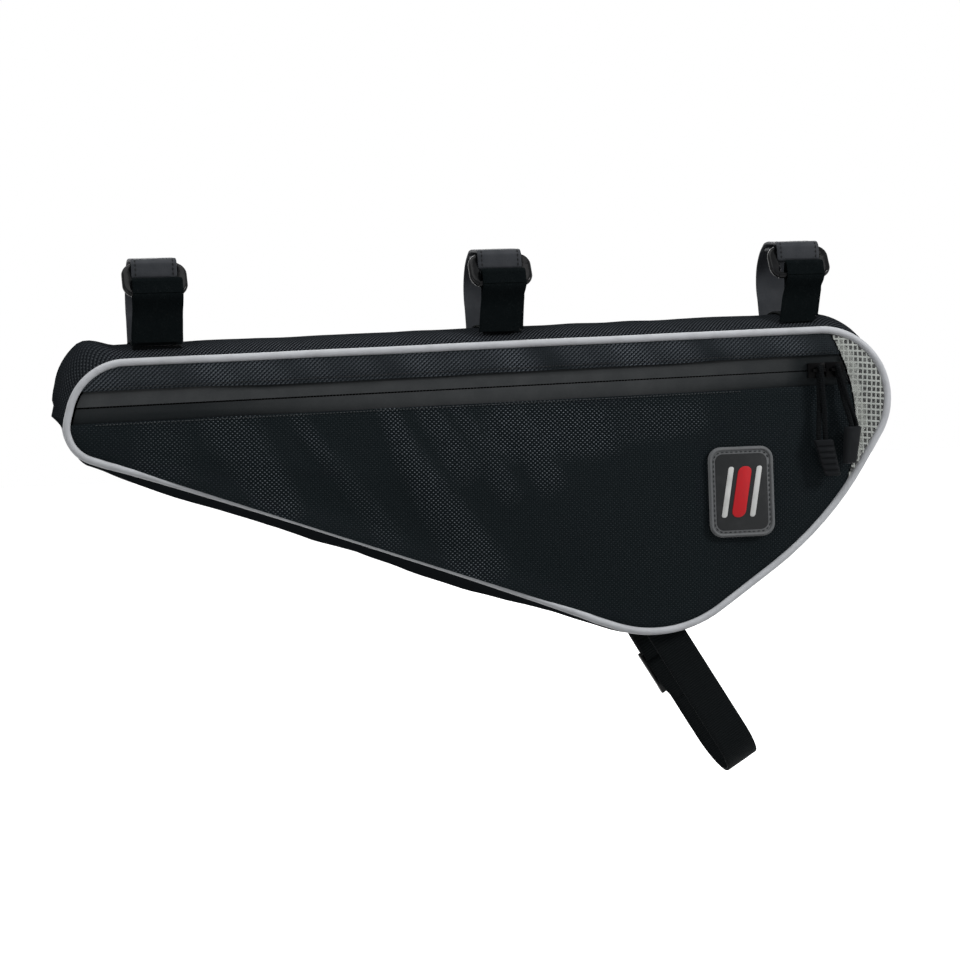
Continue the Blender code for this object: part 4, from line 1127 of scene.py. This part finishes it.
def make_window():
    loop = window_loop()
    sheet("window_film", loop, film_face(0.35), "film", 0.25, 2.0, fits=("window", "film"))
    make_scrim(loop)
    strip = [edge_angle(p) for p in loop if math.dist(p, EDGE_CENTRE) < EDGE_RADIUS + 6.0]
    first, last = min(strip), max(strip)
    outer = []
    for k in range(61):
        radius = EDGE_RADIUS + HEM_WIDTH + 0.6 * math.sin(k * 0.9) + 0.9 * math.sin(k * 0.31)
        outer.append(polar(EDGE_CENTRE, radius, first + (last - first) * k / 60))
    outer = [p for p, kept in zip(outer, inside(outer, loop)) if kept]
    inner = arc(EDGE_CENTRE, EDGE_RADIUS + 0.2, edge_angle(outer[-1]), edge_angle(outer[0]), 50)
    sheet("window_hem", refine_loop(outer + inner, 1.5), film_face(0.62), "hem_film", 0.2, 1.6)


def make_scrim(loop):
    """Woven threads inside the film, as flat strips both ways."""
    low, high = np.min(loop, axis=0), np.max(loop, axis=0)
    wide, tall = SCRIM_PITCH
    lines = []
    for x in np.arange(low[0] + 0.6, high[0], wide):
        run = [(x + 0.02 * (z + 70) + 0.25 * math.sin(z / 9), z) for z in np.arange(low[1], high[1], 0.7)]
        lines.append((run, 0.42, 0.0))
    for z in np.arange(low[1] + 0.6, high[1], tall):
        run = [(x, z + 0.3 * math.sin(x / 7) - 0.06 * (x - 190)) for x in np.arange(low[0], high[0], 0.7)]
        lines.append((run, 0.0, 0.5))
    verts, faces = [], []
    for number, (line, a, b) in enumerate(lines):
        line = np.array(line)
        depth = film_face(0.0)(*line.T, edge_distance(line, loop)) + (0.06 if number % 2 else -0.06)
        rings = []
        for (x, z), y, kept in zip([*line, line[0]], [*depth, 0.0], [*inside(line, loop), False]):
            if kept:
                rings.append([(x - a, y, z - b), (x, y - 0.16, z), (x + a, y, z + b), (x, y + 0.16, z)])
                continue
            if len(rings) > 2:
                add_solid(verts, faces, rings)
            rings = []
    piece("window_scrim", verts, faces, "scrim", sharp=70)


# ---- patch


def plaque(name, size, radius, back, front, mat, soft=0.35, shift=0.0, lean=0.0, **words):
    """A flat moulded piece with a softened edge, from y = back to y = front."""
    rings = []
    for shrink, y in ((0.0, back), (0.0, front + soft), (soft * 0.3, front + soft * 0.3), (soft, front)):
        row = []
        for a, b in rounded((size[0] - 2 * shrink, size[1] - 2 * shrink), max(0.2, radius - shrink)):
            row.append((PATCH_CENTRE[0] + shift + a + b * lean, y, PATCH_CENTRE[1] + b))
        rings.append(row)
    u = lengths([r[0] for r in rings])
    return grid_piece(name, rings, u, lengths(rings[0], closed=True), mat, sharp=50, **words)


def patch_ring(size, radius, y):
    return [(PATCH_CENTRE[0] + a, y, PATCH_CENTRE[1] + b) for a, b in rounded(size, radius, 10)]


def make_patch():
    """Plain sewn patch: grey rim, dark field and slanting bars."""
    plaque("patch_base", (36.0, 48.0), 7.0, -32.2, -33.2, "patch", fits=("side_patch", "patch"))
    rim_path = patch_ring((33.6, 45.6), 5.8, -33.25)
    tube("patch_rim", rim_path, 0.75, "patch", closed=True, sides=10)
    plaque("patch_field", (28.6, 40.6), 4.2, -33.1, -33.42, "patch_dark", 0.12)
    for k, (mat, width) in enumerate((("patch_pale", 3.0), ("patch_red", 7.5), ("patch_pale", 3.0))):
        place = (0.25, (k - 1) * 7.8, 0.18)
        plaque(f"patch_bar_{k}", (width, 27.0), width / 2.2, -33.3, -33.9, mat, *place)
    sewn = patch_ring((30.6, 42.6), 5.0, -33.28)
    stitches("patch_stitches", [(sewn + sewn[:1], (0, -1, 0))], "thread", 2.6, 1.9)


# ---- straps round the top tube


def gusset_top(x, y):
    (x0, z0), (x1, z1) = CORNERS[0][0], CORNERS[1][0]
    return z0 + (z1 - z0) / (x1 - x0) * (x - x0) + TOP_BULGE * arch(y)


def make_ring(end, path, centre):
    """Glossy ring: a round bar on the two long sides, broader on the two short ones."""
    fits = (f"strap_ring_{end}", "ring")
    ring = tube(f"ring_{end}", path, 1.7, "ring", closed=True, sides=20, fits=fits)
    co = vertices(ring)
    near = path[np.argmin(np.linalg.norm(co[:, None] - path[None], axis=2), axis=1)]
    inward = unit(np.array(centre) - near)
    side = clamp((np.abs(near[:, 0] - centre[0]) - 11.5) / 3.5)
    depth = np.einsum("ij,ij->i", co - near, inward)
    spread = depth * np.where(depth > 0, 1.8, -0.2) * side
    move_vertices(ring, co + inward * spread[:, None])


def ring_bars():
    """The ring's middle, upper bar and lower bar as (y, z)."""
    reach = TUBE_RADIUS + SNUG + WEBBING + BAR_GAP + RING_BAR
    out = Vector((math.cos(RING_LEAN), math.sin(RING_LEAN)))
    up = Vector((out.y, -out.x)) * RING_SIZE[1] / 2
    return out * reach, out * reach + up, out * reach - up


def make_strap(end, x):
    """One strap round the top tube: ring, base, ring band with its stitches, hook leg and tail."""

    def place(y, z, across):
        return (x + across, y, z)

    centre, upper, lower = ring_bars()
    up = (upper - lower).normalized()
    spots = [(x + a, *(centre + up * b)) for a, b in rounded(RING_SIZE, RING_CORNER, 6)]
    make_ring(end, smooth_closed(spots), (x, *centre))
    base = [(y, gusset_top(x, y) + 1.25) for y in range(-18, 19, 3)]
    fits = (f"strap_base_{end}", "webbing")
    band(f"base_{end}", base, place, "webbing", TAILS[end][3] - 0.6, THIN_WEBBING, fits=fits)
    outer = STRAP_REACH + WEBBING + 1.2
    turn = RING_BAR + BAR_GAP + WEBBING / 2
    foot = gusset_top(x, STRAP_FOOT) + 2.4
    path = [(STRAP_FOOT, foot)] + arc((0, 0), outer, -24, 60, 10) + arc((0, 0), outer + 0.5, 76, 96, 3)
    path += arc(tuple(upper), turn + 0.9, 80, 165, 6)
    path += arc((upper.x - 2.4, upper.y - 4.8), 1.45, 180, 320, 5) + arc((0, 0), STRAP_REACH, 126, 78, 6)
    band(f"band_{end}", path, place, "band", BAND_WIDTH, fits=(f"ring_band_{end}", "band"))
    leg = [(-STRAP_FOOT, foot)] + arc((0, 0), STRAP_REACH, 202, 165, 6)
    leg += arc((lower.x + 1.2, lower.y + 5.0), 2.2, 0, 180, 8) + [(lower.x - turn, lower.y)]
    shift, width = TAILS[end][:2]

    def leg_place(y, z, across):
        return (x + shift * clamp((z + 18) / 12) + across * width / WEBBING_WIDTH, y, z)

    band(f"leg_{end}", leg, leg_place, "hook_loop", fits=(f"hook_leg_{end}", "webbing"))
    make_tail(end, x, lower, turn)
    run = smooth_path(path)
    out = directions(run) @ np.array(((0, -1), (1, 0)))
    shown = (out[:, 0] < -0.3) & (out[:, 1] > -0.45)
    run, out = run[shown] + out[shown] * (WEBBING / 2 + 0.05), out[shown]
    normals = [(0, *n) for n in out]
    rows = [([(x + side * (BAND_WIDTH / 2 - 2.1), *p) for p in run], normals) for side in (-1, 1)]
    stitches(f"band_stitches_{end}", rows, "thread_dark", 2.4, 2.0, 0.3)


def make_tail(end, x, bar, turn):
    """Loose tail of the hook and loop strap, from the ring's lower bar down the bag's front."""
    top = (bar.x - turn, bar.y - 0.08)
    clear = STRAP_REACH + WEBBING + 0.6
    path = [top, (top[0], top[1] - 1.2), (top[0] + 0.6, top[1] - 3), (-clear - 1.6, -3), (-clear, -8)]
    path += [(-clear + 0.1, -15), (-clear + 0.2, -21.5)]
    shift, width, low_shift, low_width = TAILS[end]

    def place(y, z, across):
        share = clamp((top[1] - z) / 25)
        wide = width + (low_width - width) * share + 0.25 * noise.noise((z * 0.2, across, len(end)))
        return (x + shift + (low_shift - shift) * share + across * wide / WEBBING_WIDTH, y, z)

    words = {"fits": (f"hook_tail_{end}", "hook_loop"), "body": f"tail_{end}"}
    band(f"tail_{end}", path, place, "hook_loop", **words)


# ---- strap round the lower tube


def lower_place(y, down, across):
    c, s = math.cos(LOWER_ANGLE), math.sin(LOWER_ANGLE)
    across = across * LOWER_SHARE + LOWER_SHIFT
    return (LOWER_TOP[0] + c * down + s * across, y, LOWER_TOP[1] - s * down + c * across)


def held_place(y, down, across):
    """Fills the lock's slots, then follows the strap."""
    return lower_place(y, down, across * np.interp(down, (33, 40), (1.1, 0.96)))


def make_lower_strap():
    oblique = abs(math.cos(LOWER_ANGLE + LOWER_TUBE_ANGLE - math.pi / 2))
    wrap = [(a, LOWER_DROP + b / oblique) for a, b in arc((0, 0), STRAP_REACH, 180, 0, 20)]
    slant = math.tan(math.pi / 2 - LOWER_ANGLE)
    path = [(-STRAP_REACH, down) for down in (-1.9, 10, 30, 50)]
    path += [*wrap, (STRAP_REACH, 56), (STRAP_REACH, 43.5)]
    fits = ("lower_strap", "webbing")
    band("strap_low", path, lower_place, "webbing", skew=(slant - 0.33, 0.0), fits=fits)
    y, start = LOCK_BAR
    turn = LOCK_BAR_HALF + 0.45 + WEBBING / 2
    loop = [(a, b + 0.7 * max(0.0, b - start)) for a, b in arc((y, start), turn, 180, 0, 9)]
    anchor = [(y - turn + 0.6, 0.6), (y - turn, start - 3), *loop]
    anchor += [(y + turn, start - 3), (y + turn - 1.2, -1.0)]
    fits = ("lock_anchor", "webbing")
    band("anchor_low", anchor, lower_place, "webbing", ANCHOR_WIDTH, skew=(slant, -slant), fits=fits)
    out = y + LOCK_BAR_HALF + 1.1
    inner = y - LOCK_BAR_HALF - 1.1
    near = STRAP_REACH
    path = [(near, 43.1), (near, start + 9.6), (near + 0.8, start + 6.4), (y - 1.0, start + 5.4)]
    path += [(out - 0.6, start + 6.2), (out, start + 8.6), (out, start + 11.8), (out - 1.0, start + 14.2)]
    path += [(y, start + 15.0), (inner + 1.0, start + 15.8), (inner, start + 17.4), (inner, 37.5)]
    path += [(inner + 0.4, 61.5)]
    fits = ("lower_strap_free_end", "webbing")
    band("free_end", path, held_place, "webbing", thickness=THIN_WEBBING, fits=fits)
    narrow(bevelled("ladder_lock", "lock_moulded", "lock", "lock", "lock", 0.35))


def narrow(lock):
    """Draws the lock in to the webbing's width, along its bars."""
    co = vertices(lock)
    bars = np.array((math.sin(LOWER_ANGLE), 0, math.cos(LOWER_ANGLE)))
    across = (co - (LOWER_TOP[0], 0, LOWER_TOP[1])) @ bars
    move_vertices(lock, co + ((LOWER_SHARE - 1) * across + LOWER_SHIFT)[:, None] * bars)


# ---- stage


def area_light(name, place, size, power):
    data = bpy.data.lights.new(name, "AREA")
    data.shape = "RECTANGLE"
    data.size, data.size_y = size
    data.energy = power
    obj = add_object(name, data)
    obj.location = place
    direction = Vector(LIGHT_TARGET) - Vector(place)
    obj.rotation_euler = direction.to_track_quat("-Z", "Y").to_euler()


def make_stage():
    world = bpy.data.worlds.new("studio")
    bpy.context.scene.world = world
    world.use_nodes = True
    sky = Tree(world.node_tree)
    strength = sky.node("MapRange", Value=sky.seen_rays(), To_Min=SKY, To_Max=1.0)
    background = sky.nodes["Background"].inputs
    sky.feed(background["Strength"], strength.outputs["Result"])
    sky.feed(background["Color"], (1, 1, 1, 1))
    mesh = bpy.data.meshes.new("floor")
    ways = ((-1, -1), (1, -1), (1, 1), (-1, 1))
    points = [(a * FLOOR_REACH, b * FLOOR_REACH, FLOOR_HEIGHT) for a, b in ways]
    mesh.from_pydata(points, [], [(0, 1, 2, 3)])
    floor = add_object("floor", mesh)
    s = Shader("pale_floor", 0.8)
    seen = s.seen_rays()
    s.set("Base Color", s.mix(seen, (0.3, 0.3, 0.3), (0.9, 0.9, 0.9)))
    s.set("Emission Strength", seen)
    s.set("Emission Color", (0.95, 0.95, 0.95, 1.0))
    mesh.materials.append(s.mat)
    for name, facts in LIGHTS.items():
        area_light(name, *facts)


def make_camera():
    a, e, r = CAMERA_AZIMUTH, CAMERA_ELEVATION, CAMERA_ROLL
    back = Vector((math.sin(a) * math.cos(e), -math.cos(a) * math.cos(e), math.sin(e)))
    right = (-back).cross(Vector((0, 0, 1))).normalized()
    up = back.cross(right)
    turned_right = right * math.cos(r) + up * math.sin(r)
    turned_up = up * math.cos(r) - right * math.sin(r)
    matrix = Matrix((turned_right, turned_up, back)).transposed().to_4x4()
    matrix.translation = Vector(CAMERA_PLACE) * MM
    data = bpy.data.cameras.new("camera")
    data.lens = CAMERA_LENS
    data.sensor_width = 36.0
    data.clip_end = 50
    camera = add_object("camera", data)
    camera.matrix_world = matrix
    bpy.context.scene.camera = camera


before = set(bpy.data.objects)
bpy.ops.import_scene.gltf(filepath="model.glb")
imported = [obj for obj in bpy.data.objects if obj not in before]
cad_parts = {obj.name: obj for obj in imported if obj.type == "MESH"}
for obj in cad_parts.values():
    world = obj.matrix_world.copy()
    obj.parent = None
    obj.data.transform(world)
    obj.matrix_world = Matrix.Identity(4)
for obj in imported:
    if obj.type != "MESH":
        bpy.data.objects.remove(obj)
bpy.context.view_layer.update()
bpy.context.scene.view_settings.view_transform = "Standard"
materials = make_materials()
make_camera()
make_stage()
make_gusset()
make_pipings()
make_panels()
make_back()
make_window()
make_zip(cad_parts)
make_pulls()
make_patch()
for strap_end, strap_x in STRAPS.items():
    make_strap(strap_end, strap_x)
make_lower_strap()
